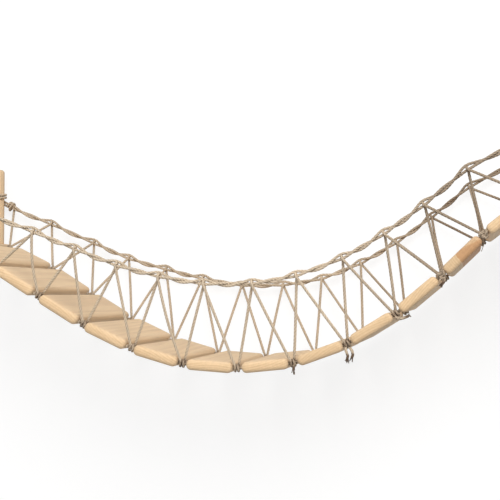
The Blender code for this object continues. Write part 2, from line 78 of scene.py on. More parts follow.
# Slats, from left to right. The flat on a board's end starts END_FLAT_INSET eases in from its
# faces, and at most END_FLAT_INSET_LIMIT of its thickness
SLAT_PITCH = 70.0 * MM
SLAT_WIDTH = 58.5 * MM
SLAT_LENGTH = 232.0 * MM
SLAT_THICKNESS = 13.5 * MM
SLAT_EDGE_RADIUS = 6.0 * MM
SLAT_END_EASE = 5.0 * MM
END_FLAT_INSET = 2.2
END_FLAT_INSET_LIMIT = 0.38
SLAT_TILTS_DEG = (-26, -32, -31, -25, -16, -4, 6, 20, 32, 40, 44, 38)

# How each slat was cut from its log: how far the pith lies across and up from the slat's middle,
# in millimetres, and how dark the slat is
SLAT_CUTS = (
    (-30, -170, 0.1), (34, -152, 0.0), (-12, -164, 0.3), (46, 158, 0.05),
    (-44, -190, 0.0), (10, -148, 0.1), (-36, 162, 0.15), (50, -176, 0.35),
    (-8, -144, 0.5), (32, -196, 0.1), (19.5, -4, 0.9), (-38, 160, 0.35),
)

# Cords. The scene draws the cord a little thicker, because soft cord touches its neighbours
LOWER_ROPE_DIAMETER = 4.5 * MM
CORD_DIAMETER = 3.6 * MM
ROPE_FROM_SLAT_END = 11.0 * MM
HOLE_CLEARANCE = 0.4 * MM
CORD_CLEARANCE = 0.4 * MM
CORD_DRAWN = CORD_DIAMETER + CORD_CLEARANCE / 2

# A cord is laid of strands, and a strand of yarns. The lay is the length of one turn, in girths of
# the cord, and the yarns lean by so many yarns in a girth
CORD_STRANDS = 3
CORD_LAY = 1.15
STRAND_RELIEF = 0.16
CORD_WAVER = 0.025
CORD_WAVER_SCALE = 190.0
YARNS_ROUND_CORD = 12.0
YARN_LEAN = 3.2

# Side nets. A knot presses into the lower rope, as if that were ROPE_IN_KNOT thick. A rope's
# piece reaches HIDDEN_REACH into a hole, where its end doesn't show
NET_HEIGHT = 103.0 * MM
NET_HEIGHT_SHARES = (0.58, 0.66, 0.77, 0.89, 0.98, 1.0, 1.0, 0.96, 0.9, 0.82, 0.74, 0.72)
NET_FLARE = 16.0 * MM
NET_LEANS_DEG = (25, 24, 17, 11, 4, -2, -8, -16, -22, -29, -36, -40)
KNOT_TURNS = 1.5
KNOT_PITCH = 4.0 * MM
KNOT_SLANT_SHARE = 0.33
KNOT_TAIL = 2.2 * MM
ROPE_IN_KNOT = 3.4 * MM
ROPE_STRAIGHT_IN_KNOT = 0.8 * KNOT_PITCH
KNOT_RADIUS = (ROPE_IN_KNOT + CORD_DRAWN) / 2
LOOP_RADIUS = 0.86 * CORD_DRAWN
LEG_RISE = 2.4 * MM
LEG_SHARES = (0.08, 0.3, 0.5, 0.7, 0.92)
HIDDEN_REACH = 10.0 * MM

# What is uneven in a net tied by hand: how far its knots are pulled up, and how far each has
# slid along its rope, in millimetres
KNOT_PULL = 0.2 * MM
KNOT_SLIDES = (-3.0, 0.6, 1.5, 1.5, 1.4, -0.8, -1.2, -1.0, -0.4, -1.2, 0.5, 0, 3.0)

# How far a bend lies from its even place, along X and up in millimetres, by the slat's number
# counted from 0
BEND_SHIFTS = {
    FRONT: {
        1: (1.8, 1.4), 2: (1.8, 2.2), 4: (-0.7, -0.3), 5: (-1.4, 0.2), 7: (-0.9, 0.7), 10: (-0.9, -0.8),
    },
    BACK: {1: (2.4, -2.8), 2: (0.0, -2.9), 11: (1.5, 0.2)},
}

# How far a leg bows along X: at random up to LEG_BOW, but for these by side, bay and leg. A
# bay's legs are the rising one, 0, and the falling one, 1
LEG_BOW = 0.5 * MM
LEG_BOWS = {
    (FRONT, 5, 1): -2.6 * MM,
    (FRONT, 2, 1): -3.2 * MM,
    (FRONT, 3, 1): -0.8 * MM,
    (BACK, 11, 0): -1.6 * MM,
    (BACK, 12, 0): 2.0 * MM,
}

# Loose ends of cord and single yarns at knots of the front, by knot: along X, out and up, in
# millimetres
LOOSE_ENDS = {
    7: (((1.5, 4.0, -3.0), (1.9, 5.5, -5.5), (1.6, 5.8, -8.5)),),
    8: (
        ((-1.0, 4.5, -4.5), (-0.5, 6.0, -9.0), (1.5, 6.5, -14.0), (1.0, 6.5, -18.0)),
        ((3.5, 3.0, -4.5), (6.5, 4.5, -8.5), (7.5, 5.0, -13.0), (6.5, 5.5, -16.5)),
    ),
    9: (((0.0, 7.0, -4.0), (5.5, 8.0, -6.0), (11.5, 8.0, -4.5), (16.0, 7.5, -2.5)),),
    10: (((3.0, 9.0, -3.0), (3.4, 10.0, -7.0), (1.0, 9.5, -10.5)),),
}
LOOSE_YARNS = {
    11: (((-0.5, 9.0, -5.0), (0.3, 9.5, -10.0), (-1.2, 9.5, -15.5), (-3.0, 9.3, -20.5)),),
}

# The small knots that join two lengths of cord at these knots of the front. Their reach along,
# up and out is in radii of the cord
JOINING_KNOTS = (10, 11)
JOINING_KNOT_OUT = 9.0 * MM
JOINING_KNOT_STEPS = 59
JOINING_KNOT_ALONG = 0.9
JOINING_KNOT_UP = 0.8
JOINING_KNOT_DEPTH = 0.95

# Frayed ends: where the yarns leave the cord, how far they reach and how far they spread. The
# tip's reach and spread are ranges in millimetres
YARN_DIAMETER = 1.2 * MM
YARN_STEP = 0.8 * MM
YARNS_PER_END = 6
YARN_ROOT = 1.5 * MM
YARN_ROOT_SPREAD = 0.8 * MM
YARN_MIDDLE = 2.6 * MM
YARN_MIDDLE_SPREAD = 0.6 * MM
YARN_TIP = (1.0, 3.4)
YARN_TIP_SPREAD = (0.2, 1.8)
YARN_DROOP = 0.8 * MM

# Hand ropes. Their two strands open at each bend of the net, and close more slowly on its right
ROPE_SAG = 3.5 * MM
STRAND_OFFSET = 1.9 * MM
STRAND_OPEN = 0.88 * CORD_DRAWN
STRAND_LIFT = 1.0 * MM
STRAND_CLOSINGS = (30, 60)
STRAND_EASING = 3
TWIST_START_SHARE = 0.05
WINDING_TURNS = 1.5
WINDING_GAP = 0.5 * MM
WINDING_PITCH = CORD_DIAMETER + WINDING_GAP
WINDING_HEIGHT_LEFT = 61.0 * MM
WINDING_HEIGHT_RIGHT = 76.0 * MM
END_NODE_DROP = 7.0 * MM
END_NODE_BACK = 7.0 * MM

# Painted shade browns the cords right of the middle, where less light fell, and on the wall side;
# grime and painted shade darken them at their knots. Along X in metres, the right shade sets in at
# its FROM place, is full from FULL_FROM to FULL_TO, and is down to LEFT of itself at TO
RIGHT_SHADE = 0.78
RIGHT_SHADE_FROM = 0.56
RIGHT_SHADE_FULL_FROM = 0.72
RIGHT_SHADE_FULL_TO = 0.77
RIGHT_SHADE_TO = 0.93
RIGHT_SHADE_LEFT = 0.3
# Painted shade on the wall side of the walkway
WALL_SIDE_SHADE = 0.25
# Grime and painted shade where the cord is wound into a knot
KNOT_GRIME_AND_SHADE = 1.5
KNOT_GRIME_AND_SHADE_REACH = 7.5 * MM

# End shelves. Each was cut with its pith at this place from its middle, and is this dark
SHELF_LENGTH = 120.0 * MM
SHELF_THICKNESS = 16.0 * MM
SHELF_EDGE_RADIUS = 4.0 * MM
SHELF_END_EASE = 1.0 * MM
SHELF_CUTS = (((0.020, 0.3, -0.075), 0.3), ((-0.034, 0.8, -0.058), 0.6))
END_GAP = 9.5 * MM
SEAT_GAP = 0.3 * MM

# Posts. A post's pith lies up to so far across and so deep, in millimetres
POST_DIAMETER = 25.0 * MM
POST_HEIGHT = 110.0 * MM
POST_TOP_RADIUS = 4.5 * MM
POST_TOP_SHARES = (0.4, 0.15)
POST_FOOT_CHAMFER = 0.8 * MM
POST_INSET = 7.0 * MM
POST_STEP_OUT = 10.0 * MM
POST_EDGE_MARGIN = 8.0 * MM
POST_PITH_ACROSS = 40
POST_PITH_DEEP = (44, 60)
POST_TONES = (0.4, 1.0)
POST_WINDING_RADIUS = (POST_DIAMETER + CORD_DRAWN) / 2

# Screws. A cross is its depth, the width of its slots and their span. The turns at which the
# screws were left are in radians, from one bracket, hole and shelf to the next
SCREW_DIAMETER = 4.0 * MM
SCREW_HEAD_DIAMETER = 8.5 * MM
SCREW_HEAD_RIM = 0.3 * MM
SCREW_HEAD_DEPTH = 3.0 * MM
SCREW_GRIP = 30.0 * MM
SCREW_POINT = 3.0 * MM
POST_SCREW_TURN = 0.5
SHELF_SCREW_TURNS = (0.9, 2.1, 1.0)
POST_SCREW_CROSS = (1.8 * MM, 1.1 * MM, 5.0 * MM)
SHELF_SCREW_CROSS = (1.5 * MM, 1.0 * MM, 4.4 * MM)
SHELF_SCREW_HEAD_HEIGHT = 2.6 * MM
SHELF_SCREW_PROFILE = (
    (0.0, -SHELF_SCREW_HEAD_HEIGHT),
    (1.6 * MM, -2.5 * MM),
    (2.9 * MM, -2.0 * MM),
    (3.7 * MM, -1.1 * MM),
    (3.9 * MM, 0.0),
    (1.7 * MM, 0.0),
    (1.7 * MM, 12.0 * MM),
    (0.0, 14.0 * MM),
)

# Brackets
BRACKET_WIDTH = 25.0 * MM
BRACKET_THICKNESS = 3.0 * MM
BRACKET_REACH = 150.0 * MM
BRACKET_DROP = 90.0 * MM
BRACKET_BEND_RADIUS = 4.0 * MM
BRACKET_CORNER_RADIUS = 8.0 * MM
BRACKET_HOLE_DIAMETER = 5.2 * MM
BRACKET_HOLE_FROM_END = 16.0 * MM
BRACKET_HOLE_FROM_BEND = 22.0 * MM
BRACKET_INSET = 37.0 * MM
BRACKET_EDGE_EASE = 0.35 * MM

# How the wood was sanded and worn, and the growth of its tree. Beside the pith the heartwood is
# paler above a slanting line, from its fading to full
SANDING_WAVER = 0.12 * MM
SANDING_SCALE = 45.0
WORN_EDGE_REACH = 3.0 * MM
END_GRAIN_REACH = 4.0 * MM
RING_WIDTH = 2.9 * MM
RING_WANDER = 12.0 * MM
HEARTWOOD_RADIUS = 27.0 * MM
HEARTWOOD_FADE = 1.5 * MM
PALER_FROM = 5.2 * MM
PALER_TO = 7.6 * MM
PALER_SLANT = 0.3

# Fineness of the meshes. The steps of knots and windings are in a turn, those of strands in a bay
CORD_SIDES = 12
CORD_STEP = 1.6 * MM
STRAIGHT_STEP = 4 * CORD_STEP
KNOT_STEPS = 16
STRAND_STEPS = 20
WINDING_STEPS = 20
ROUND_STEPS = 7
EASE_STEPS = 4
BOARD_STEP = 9.0 * MM
POST_SIDES = 56
POST_RINGS = 8
HOLE_SIDES = 28
SCREW_SIDES = 28
CUT_OVERRUN = 2.0 * MM

# The angle between two faces, in degrees, above which their edge shows as sharp or is eased
CORD_SHARP = 60
BOARD_SHARP = 50
POST_SHARP = 40
SCREW_SHARP = 35
BRACKET_SHARP = 14
BRACKET_EASE_ANGLE = 50

# The camera, in the photograph's frame of 500 by 500 pixels
CAMERA_PLACE = (0.7356, -1.6604, -0.0653)
CAMERA_TURN_DEG = (92.12, 0.0, 10.69)
CAMERA_FOCAL_PX = 1170.0
IMAGE_PX = 500.0
SENSOR_MM = 36.0
CAMERA_NEAR = 0.05

# The room and its light. A lamp is its name, place, size, power in watts and colour
WALL_GAP = 1.0 * MM
WALL_GLOW = 0.80
WALL_SHADE = 0.24
FLOOR_HEIGHT = -1.2
FLOOR_GLOW = 0.60
FLOOR_SHADE = 0.5
ROOM_SIZE = 16.0
WORLD_LIGHT = 0.42
WHITE = (1.0, 1.0, 1.0, 1.0)
LAMP_AIM = (0.44, -0.14, 0.0)
LAMPS = (
    ("key", (1.2, -2.4, 1.6), 2.0, 73.0, (1.0, 0.99, 0.975)),
    ("fill", (-1.6, -2.2, 0.4), 2.4, 11.0, (0.94, 0.97, 1.0)),
)

# Places that follow from the sizes above
SLAT_COUNT = len(SLAT_TILTS_DEG)
SIDE_SPACING = SLAT_LENGTH - 2 * ROPE_FROM_SLAT_END
POST_OUT = SIDE_SPACING / 2 + POST_STEP_OUT
POST_FROM_MIDDLE = SHELF_LENGTH / 2 - POST_INSET - POST_DIAMETER / 2
SHELF_DEPTH = 2 * (POST_OUT + POST_DIAMETER / 2 + POST_EDGE_MARGIN)
BRIDGE_Y = -SHELF_DEPTH / 2
HOLE_RADIUS = LOWER_ROPE_DIAMETER / 2 + HOLE_CLEARANCE

END_BODY = "end_shelves"
LOWER_ROPES = ("lower_rope_front", "lower_rope_back")
JOINED = {frozenset((joint["parent"], joint["child"])) for joint in frame["joints"]}

# An end shelf: the way to the bridge along X, its middle, and its windings' height on the posts
Shelf = namedtuple("Shelf", "name inward x z winding_height")


class Station:
    """A place on the bridge, with the directions along it, up from it and out of the walkway."""

    def __init__(self, origin, tilt, side):
        self.origin = origin
        self.along = Vector((math.cos(tilt), 0.0, math.sin(tilt)))
        self.up = Vector((-math.sin(tilt), 0.0, math.cos(tilt)))
        self.out = Vector((0.0, side, 0.0))

    def at(self, along=0.0, out=0.0, up=0.0):
        return self.origin + self.along * along + self.out * out + self.up * up


def slat_tilt(number):
    """A slat's tilt in radians. The shelves at both ends are level."""
    if 0 <= number < SLAT_COUNT:
        return math.radians(SLAT_TILTS_DEG[number])
    return 0.0


def pivot_points():
    """The (x, z) of each pivot: the first by the left shelf, then one after every slat."""
    x = SHELF_LENGTH / 2 + END_GAP
    z = 0.0
    points = [(x, z)]
    for number in range(SLAT_COUNT):
        x += SLAT_PITCH * math.cos(slat_tilt(number))
        z += SLAT_PITCH * math.sin(slat_tilt(number))
        points.append((x, z))
    return points


PIVOTS = pivot_points()
RIGHT_SHELF_X = PIVOTS[-1][0] + END_GAP + SHELF_LENGTH / 2
SHELVES = (
    Shelf("left", 1.0, 0.0, 0.0, WINDING_HEIGHT_LEFT),
    Shelf("right", -1.0, RIGHT_SHELF_X, PIVOTS[-1][1], WINDING_HEIGHT_RIGHT),
)


def slat_body(number):
    """The body that carries a slat. Past either end, the shelves carry the ropes."""
    if 0 <= number < SLAT_COUNT:
        return "slat_%02d" % (number + 1)
    return END_BODY


def knot_station(number, side):
    """The gap before slat number, where the net's cord is knotted round the lower rope."""
    x, z = PIVOTS[number]
    tilt = (slat_tilt(number - 1) + slat_tilt(number)) / 2
    gap = Station(Vector((x, BRIDGE_Y + side * SIDE_SPACING / 2, z)), tilt, side)
    gap.origin = gap.at(KNOT_SLIDES[number] * MM, 0.0, KNOT_PULL)
    return gap


def slat_centre(number):
    """The middle of a slat, halfway between its pivots."""
    (x0, z0), (x1, z1) = PIVOTS[number], PIVOTS[number + 1]
    return Vector(((x0 + x1) / 2, BRIDGE_Y, (z0 + z1) / 2))


def slat_station(number, side):
    """The middle of a slat, with its directions."""
    return Station(slat_centre(number), slat_tilt(number), side)


def bend_place(number, side):
    """Where the net's cord bends over the hand rope, above a slat."""
    height = NET_HEIGHT * NET_HEIGHT_SHARES[number]
    lean = math.radians(NET_LEANS_DEG[number])
    along, up = BEND_SHIFTS[side].get(number, (0.0, 0.0))
    shift = Vector((along * MM, side * (SIDE_SPACING / 2 + NET_FLARE), up * MM))
    return slat_centre(number) + Vector((math.sin(lean), 0.0, math.cos(lean))) * height + shift


def post_centre(end):
    """The (x, z) of a post's foot."""
    shelf = SHELVES[end]
    return shelf.x + shelf.inward * POST_FROM_MIDDLE, shelf.z + SHELF_THICKNESS / 2


def post_y(side):
    """The Y of the posts of a side."""
    return BRIDGE_Y + side * POST_OUT


def winding_exit(end, side):
    """Where the lower strand leaves its post, on the outer side."""
    x, z = post_centre(end)
    height = z + SHELVES[end].winding_height + CORD_DIAMETER / 2
    return Vector((x, post_y(side) + side * POST_WINDING_RADIUS, height))


def end_node(end, side):
    """Where the net's first or last leg is tied to the hand rope, beside the post."""
    x, _ = PIVOTS[0] if end == 0 else PIVOTS[-1]
    height = winding_exit(end, side).z - END_NODE_DROP
    out = SIDE_SPACING / 2 + NET_FLARE
    return Vector((x - SHELVES[end].inward * END_NODE_BACK, BRIDGE_Y + side * out, height))


def rope_nodes(side):
    """The hand rope's fixed places: its two end nodes and the net's bends between them."""
    bends = [bend_place(number, side) for number in range(SLAT_COUNT)]
    return [end_node(0, side), *bends, end_node(1, side)]


def rope_station(number, side):
    """A fixed place of the hand rope, turned the way the rope runs there."""
    nodes = rope_nodes(side)
    run = nodes[min(number + 1, len(nodes) - 1)] - nodes[max(number - 1, 0)]
    return Station(nodes[number], math.atan2(run.z, run.x), side)


def smooth_route(points, step):
    """Points a step apart on a smooth curve through the given points."""
    ends = [2 * points[0] - points[1], *points, 2 * points[-1] - points[-2]]
    route = []
    for before, start, finish, after in zip(ends, ends[1:], ends[2:], ends[3:]):
        times = [0.0]
        for a, b in ((before, start), (start, finish), (finish, after)):
            times.append(times[-1] + max((b - a).length, 1e-9) ** 0.5)
        t0, t1, t2, t3 = times
        count = max(1, round((finish - start).length / step))
        for number in range(count):
            t = t1 + (t2 - t1) * number / count
            a1 = before.lerp(start, (t - t0) / (t1 - t0))
            a2 = start.lerp(finish, (t - t1) / (t2 - t1))
            a3 = finish.lerp(after, (t - t2) / (t3 - t2))
            b1 = a1.lerp(a2, (t - t0) / (t2 - t0))
            b2 = a2.lerp(a3, (t - t1) / (t3 - t1))
            route.append(b1.lerp(b2, (t - t1) / (t2 - t1)))
    route.append(points[-1].copy())
    return route


def new_object(name, mesh, material=None):
    """A mesh put into the scene, with its finish where one is given."""
    thing = bpy.data.objects.new(name, mesh)
    bpy.context.scene.collection.objects.link(thing)
    if material:
        mesh.materials.append(material)
    return thing


def shade_mesh(mesh, sharp):
    """Smooth shading. An edge stays sharp where its faces meet at more than this angle."""
    mesh.shade_smooth()
    mesh.set_sharp_from_angle(angle=math.radians(sharp))


def write_attribute(mesh, name, kind, values):
    """Gives each point of the mesh a value that a material can read by name."""
    layer = mesh.attributes.new(name, kind, "POINT")
    layer.data.foreach_set("vector" if kind == "FLOAT_VECTOR" else "value", values)


def tube_rings(route, radius):
    """Rings of points round a route. Three laid strands stand out of it and wind round it."""
    last = len(route) - 1
    normal = (route[1] - route[0]).normalized().orthogonal().normalized()
    rings = []
    wound = 0.0
    for number, point in enumerate(route):
        if number:
            wound += (point - route[number - 1]).length / (2 * math.pi * radius * CORD_LAY)
        tangent = (route[min(number + 1, last)] - route[max(number - 1, 0)]).normalized()
        normal = (normal - tangent * normal.dot(tangent)).normalized()
        across = tangent.cross(normal)
        swell = radius * (1 + CORD_WAVER * noise.noise(point * CORD_WAVER_SCALE))
        ring = []
        for side in range(CORD_SIDES):
            angle = 2 * math.pi * (side / CORD_SIDES + wound)
            ridge = abs(math.sin(math.pi * CORD_STRANDS * side / CORD_SIDES))
            reach = swell * (1 - STRAND_RELIEF * (1 - ridge))
            ring.append(point + (normal * math.cos(angle) + across * math.sin(angle)) * reach)
        rings.append(ring)
    return rings


def ramp(value, start, finish):
    """How far a value has come from start to finish, from 0 to 1."""
    return min(max((value - start) / (finish - start), 0.0), 1.0)


def grime_and_shade_at(point, knots):
    """How dark a cord is painted: grime and painted shade, most at its knots, and painted shade by the
    wall and right of the middle.
    """
    # Painted shade right of the middle, fading further right
    fading = 1 - (1 - RIGHT_SHADE_LEFT) * ramp(point.x, RIGHT_SHADE_FULL_TO, RIGHT_SHADE_TO)
    place_shade = RIGHT_SHADE * ramp(point.x, RIGHT_SHADE_FROM, RIGHT_SHADE_FULL_FROM) * fading
    # Painted shade on the wall side
    if point.y > BRIDGE_Y:
        place_shade += WALL_SIDE_SHADE * fading
    # Grime and painted shade at the knots
    nearest = min([(point - knot).length for knot in knots], default=1.0)
    knotted = ramp(nearest, KNOT_GRIME_AND_SHADE_REACH, KNOT_RADIUS)
    return max(place_shade, KNOT_GRIME_AND_SHADE * knotted)


def closed_tube(route, diameter, first):
    """A tube along a route: its points, its faces and the map of their corners.

    first is the number of its first point in the mesh. The map runs round the cord and, in
    girths, along it.
    """
    rings = tube_rings(route, diameter / 2)
    travelled = 0.0
    girths = [0.0]
    for a, b in zip(route, route[1:]):
        travelled += (b - a).length
        girths.append(travelled / (math.pi * diameter))
    faces = []
    drawn = []
    for number, (v0, v1) in enumerate(zip(girths, girths[1:])):
        low = first + number * CORD_SIDES
        high = low + CORD_SIDES
        for side in range(CORD_SIDES):
            after = (side + 1) % CORD_SIDES
            faces.append((low + side, low + after, high + after, high + side))
            for turn, v in ((side, v0), (side + 1, v0), (side + 1, v1), (side, v1)):
                drawn.append((turn / CORD_SIDES + v / CORD_LAY, v))
    sides = range(CORD_SIDES)
    for number, order in ((0, list(reversed(sides))), (len(rings) - 1, list(sides))):
        low = first + number * CORD_SIDES
        faces.append(tuple(low + side for side in order))
        drawn += [(side / CORD_SIDES, girths[number]) for side in order]
    return [point for ring in rings for point in ring], faces, drawn


def cord_piece(name, routes, diameter, material, knots=()):
    """A piece of closed tubes along the given routes, darkened with painted shade by its place, and
    with grime and painted shade by its knots.
    """
    places = []
    faces = []
    drawn = []
    for route in routes:
        points, sides, corners = closed_tube(route, diameter, len(places))
        places += points
        faces += sides
        drawn += corners
    mesh = bpy.data.meshes.new(name)
    mesh.from_pydata(places, [], faces)
    layer = mesh.uv_layers.new(name="along_cord")
    layer.uv.foreach_set("vector", [value for pair in drawn for value in pair])
    shade_mesh(mesh, CORD_SHARP)
    write_attribute(mesh, "cord_grime", "FLOAT", [grime_and_shade_at(Vector(place), knots) for place in places])
    piece = new_object(name, mesh, material)
    return piece


def arc(x, z, radius, first, last, steps=ROUND_STEPS):
    """Points of an arc round (x, z), from the first angle to the last in degrees."""
    angles = [math.radians(first + (last - first) * step / steps) for step in range(steps + 1)]
    return [(x + radius * math.cos(angle), z + radius * math.sin(angle)) for angle in angles]


def rounded_outline(width, height, radius):
    """A rectangle in (x, z) with four rounded corners, anticlockwise."""
    x = width / 2 - radius
    z = height / 2 - radius
    points = []
    for number, (across, up) in enumerate(((1, -1), (1, 1), (-1, 1), (-1, -1))):
        points += arc(across * x, up * z, radius, 90 * (number - 1), 90 * number)
    return points


def lofted(name, rings):
    """A closed mesh through rings of as many points each, with a flat face at both ends."""
    bm = bmesh.new()
    drawn = [[bm.verts.new(point) for point in ring] for ring in rings]
    count = len(rings[0])
    for lower, upper in zip(drawn, drawn[1:]):
        for step in range(count):
            after = (step + 1) % count
            bm.faces.new((lower[step], lower[after], upper[after], upper[step]))
    bm.faces.new(list(reversed(drawn[0])))
    bm.faces.new(drawn[-1])
    return mesh_from(name, bm)


def turned(name, profile, sides):
    """A closed mesh: a profile of (radius, z) points turned round Z. A zero radius is a tip."""
    bm = bmesh.new()
    rings = []
    for radius, height in profile:
        if radius == 0.0:
            rings.append([bm.verts.new((0.0, 0.0, height))])
            continue
        ring = []
        for step in range(sides):
            angle = 2 * math.pi * step / sides
            place = (radius * math.cos(angle), radius * math.sin(angle), height)
            ring.append(bm.verts.new(place))
        rings.append(ring)
    for lower, upper in zip(rings, rings[1:]):
        for step in range(sides):
            after = (step + 1) % sides
            corners = [lower[step % len(lower)], lower[after % len(lower)]]
            corners += [upper[after % len(upper)], upper[step % len(upper)]]
            bm.faces.new(list(dict.fromkeys(corners)))
    return mesh_from(name, bm)


def mesh_from(name, bm):
    """A mesh with this name, with all faces turned outwards."""
    bmesh.ops.recalc_face_normals(bm, faces=bm.faces)
    mesh = bpy.data.meshes.new(name)
    bm.to_mesh(mesh)
    bm.free()
    return mesh


def cut_mesh(mesh, tools):
    """The mesh with each (tool mesh, matrix) cut out of it."""
    blank = new_object(mesh.name + "_blank", mesh)
    cutters = []
    for number, (tool, matrix) in enumerate(tools):
        cutter = new_object("%s_tool_%d" % (mesh.name, number), tool)
        cutter.matrix_world = matrix
        boolean = blank.modifiers.new("cut", "BOOLEAN")
        boolean.operation = "DIFFERENCE"
        boolean.solver = "EXACT"
        boolean.object = cutter
        cutters.append(cutter)
    return finished(blank, cutters)


def finished(blank, others=()):
    """The mesh of an object with its modifiers applied. The object and its tools are removed."""
    bpy.context.view_layer.update()
    graph = bpy.context.evaluated_depsgraph_get()
    mesh = bpy.data.meshes.new_from_object(blank.evaluated_get(graph))
    for thing in (blank, *others):
        bpy.data.objects.remove(thing, do_unlink=True)
    return mesh


def drill(radius, length):
    """A plain drill round Z, centred on the origin."""
    profile = [(0.0, -length / 2), (radius, -length / 2), (radius, length / 2), (0.0, length / 2)]
    return turned("drill", profile, HOLE_SIDES)


def rope_hole(side, length):
    """The tool for a lower rope's hole along X through a slat or a shelf."""
    along_x = Matrix.Rotation(math.radians(90), 4, "Y")
    place = Matrix.Translation((0.0, side * SIDE_SPACING / 2, 0.0))
    return drill(HOLE_RADIUS, length + CUT_OVERRUN), place @ along_x


def board_mesh(name, size, radius, ease):
    """A board drawn along Y, with rounded long edges, eased ends and faces sanded by hand.

    Its first and last sections lie inside the flat of the ends.
    """
    width, length, thickness = size
    flat = min(END_FLAT_INSET * ease, END_FLAT_INSET_LIMIT * thickness)
    sections = [(0.0, flat), *arc(ease, ease, ease, 180, 270, EASE_STEPS)]
    places = [(-length / 2 + depth, inset) for depth, inset in sections]
    count = round((length - 2 * ease) / BOARD_STEP)
    for step in range(1, count):
        places.append((-length / 2 + ease + (length - 2 * ease) * step / count, 0.0))
    places += [(length / 2 - depth, inset) for depth, inset in reversed(sections)]
    rings = []
    for y, inset in places:
        ring = []
        for x, z in rounded_outline(width - 2 * inset, thickness - 2 * inset, radius - inset):
            sanded = 1 + noise.noise(Vector((x, y, z)) * SANDING_SCALE)
            waver = 1 - SANDING_WAVER * sanded / thickness
            ring.append(Vector((x * waver, y, z * waver)))
        rings.append(ring)
    return lofted(name, rings)


def mark_wood(mesh, half, axis, pith, tone):
    """Tells the wood's material how a piece was cut: its place in the log, its ends and its edges.

    half is the piece's half size each way, axis the way the grain runs, and pith
    the middle of the log as seen from the piece.
    """
    places = []
    ends = []
    edges = []
    others = [number for number in range(3) if number != axis]
    for vertex in mesh.vertices:
        place = vertex.co - pith
        places += [place[others[0]], place[axis], place[others[1]]]
        to_faces = sorted(half[number] - abs(vertex.co[number]) for number in range(3))
        edges.append(1.0 - ramp(to_faces[1], 0.0, WORN_EDGE_REACH))
        ends.append(1.0 - ramp(half[axis] - abs(vertex.co[axis]), 0.0, END_GRAIN_REACH))
    write_attribute(mesh, "log_place", "FLOAT_VECTOR", places)
    write_attribute(mesh, "end_grain", "FLOAT", ends)
    write_attribute(mesh, "worn_edge", "FLOAT", edges)
    write_attribute(mesh, "board_tone", "FLOAT", [tone] * len(mesh.vertices))


def settle(piece, body, slot, *nodes):
    """The piece rides on its body and stands for these nodes, which it hides. Its slot is not used."""
    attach(piece, body)
    if nodes:
        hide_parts(*nodes)


def place_board(name, sheet, size, cut, pine, place, turn):
    """A copy of a blank board, cut from its log in its own way and put in its place."""
    mesh = sheet.copy()
    pith, tone = cut
    mark_wood(mesh, Vector(size) / 2, 1, pith, tone)
    shade_mesh(mesh, BOARD_SHARP)
    board = new_object(name, mesh, pine)
    board.location = place
    board.rotation_euler = turn
    return board


def make_slats(pine):
    """Twelve slats from one blank, each tilted to its place, and each cut and toned in its own way."""
    size = (SLAT_WIDTH, SLAT_LENGTH, SLAT_THICKNESS)
    sheet = board_mesh("slat", size, SLAT_EDGE_RADIUS, SLAT_END_EASE)
    sheet = cut_mesh(sheet, [rope_hole(side, SLAT_WIDTH) for _, side in SIDES])
    chance = random.Random(4)
    for number, (across, up, tone) in enumerate(SLAT_CUTS):
        pith = Vector((across * MM, chance.uniform(-1, 1), up * MM))
        name = slat_body(number)
        turn = (0.0, -slat_tilt(number), 0.0)
        slat = place_board(name + "_board", sheet, size, (pith, tone), pine, slat_centre(number), turn)
        settle(slat, name, "wood", name)


def make_shelves(pine):
    """The end shelves, each with two rope holes and two countersunk holes for the posts' screws."""
    wide = SCREW_HEAD_DIAMETER / 2 + SEAT_GAP
    narrow = SCREW_DIAMETER / 2 + SEAT_GAP
    face = SHELF_THICKNESS / 2
    outside = face + CUT_OVERRUN
    profile = [(0.0, -outside), (wide, -outside), (wide, -face + SEAT_GAP)]
    profile += [(narrow, -face + SEAT_GAP + SCREW_HEAD_DEPTH), (narrow, outside), (0.0, outside)]
    tools = []
    for _, side in SIDES:
        tools.append(rope_hole(side, SHELF_LENGTH))
        place = Matrix.Translation((POST_FROM_MIDDLE, side * POST_OUT, 0.0))
        tools.append((turned("screw_drill", profile, HOLE_SIDES), place))
    size = (SHELF_LENGTH, SHELF_DEPTH, SHELF_THICKNESS)
    sheet = cut_mesh(board_mesh("shelf", size, SHELF_EDGE_RADIUS, SHELF_END_EASE), tools)
    for end, (shelf, (pith, tone)) in enumerate(zip(SHELVES, SHELF_CUTS)):
        name = "shelf_" + shelf.name
        place = (shelf.x, BRIDGE_Y, shelf.z)
        turn = (0.0, 0.0, math.pi * end)
        board = place_board(name + "_board", sheet, size, (Vector(pith), tone), pine, place, turn)
        settle(board, END_BODY, "wood", name)


def post_profile():
    """A post's outline as (radius, z), with the hole for its screw in its foot."""
    radius = POST_DIAMETER / 2
    hole = SCREW_DIAMETER / 2 + SEAT_GAP
    deep = SCREW_GRIP + SEAT_GAP
    profile = [(0.0, deep), (hole, deep - hole), (hole, 0.0), (radius - POST_FOOT_CHAMFER, 0.0)]
    for step in range(POST_RINGS):
        height = POST_FOOT_CHAMFER + (POST_HEIGHT - POST_TOP_RADIUS) * step / POST_RINGS
        profile.append((radius, height))
    profile += arc(radius - POST_TOP_RADIUS, POST_HEIGHT - POST_TOP_RADIUS, POST_TOP_RADIUS, 0, 90)
    profile += [(radius * share, POST_HEIGHT) for share in POST_TOP_SHARES]
    profile.append((0.0, POST_HEIGHT))
    return profile


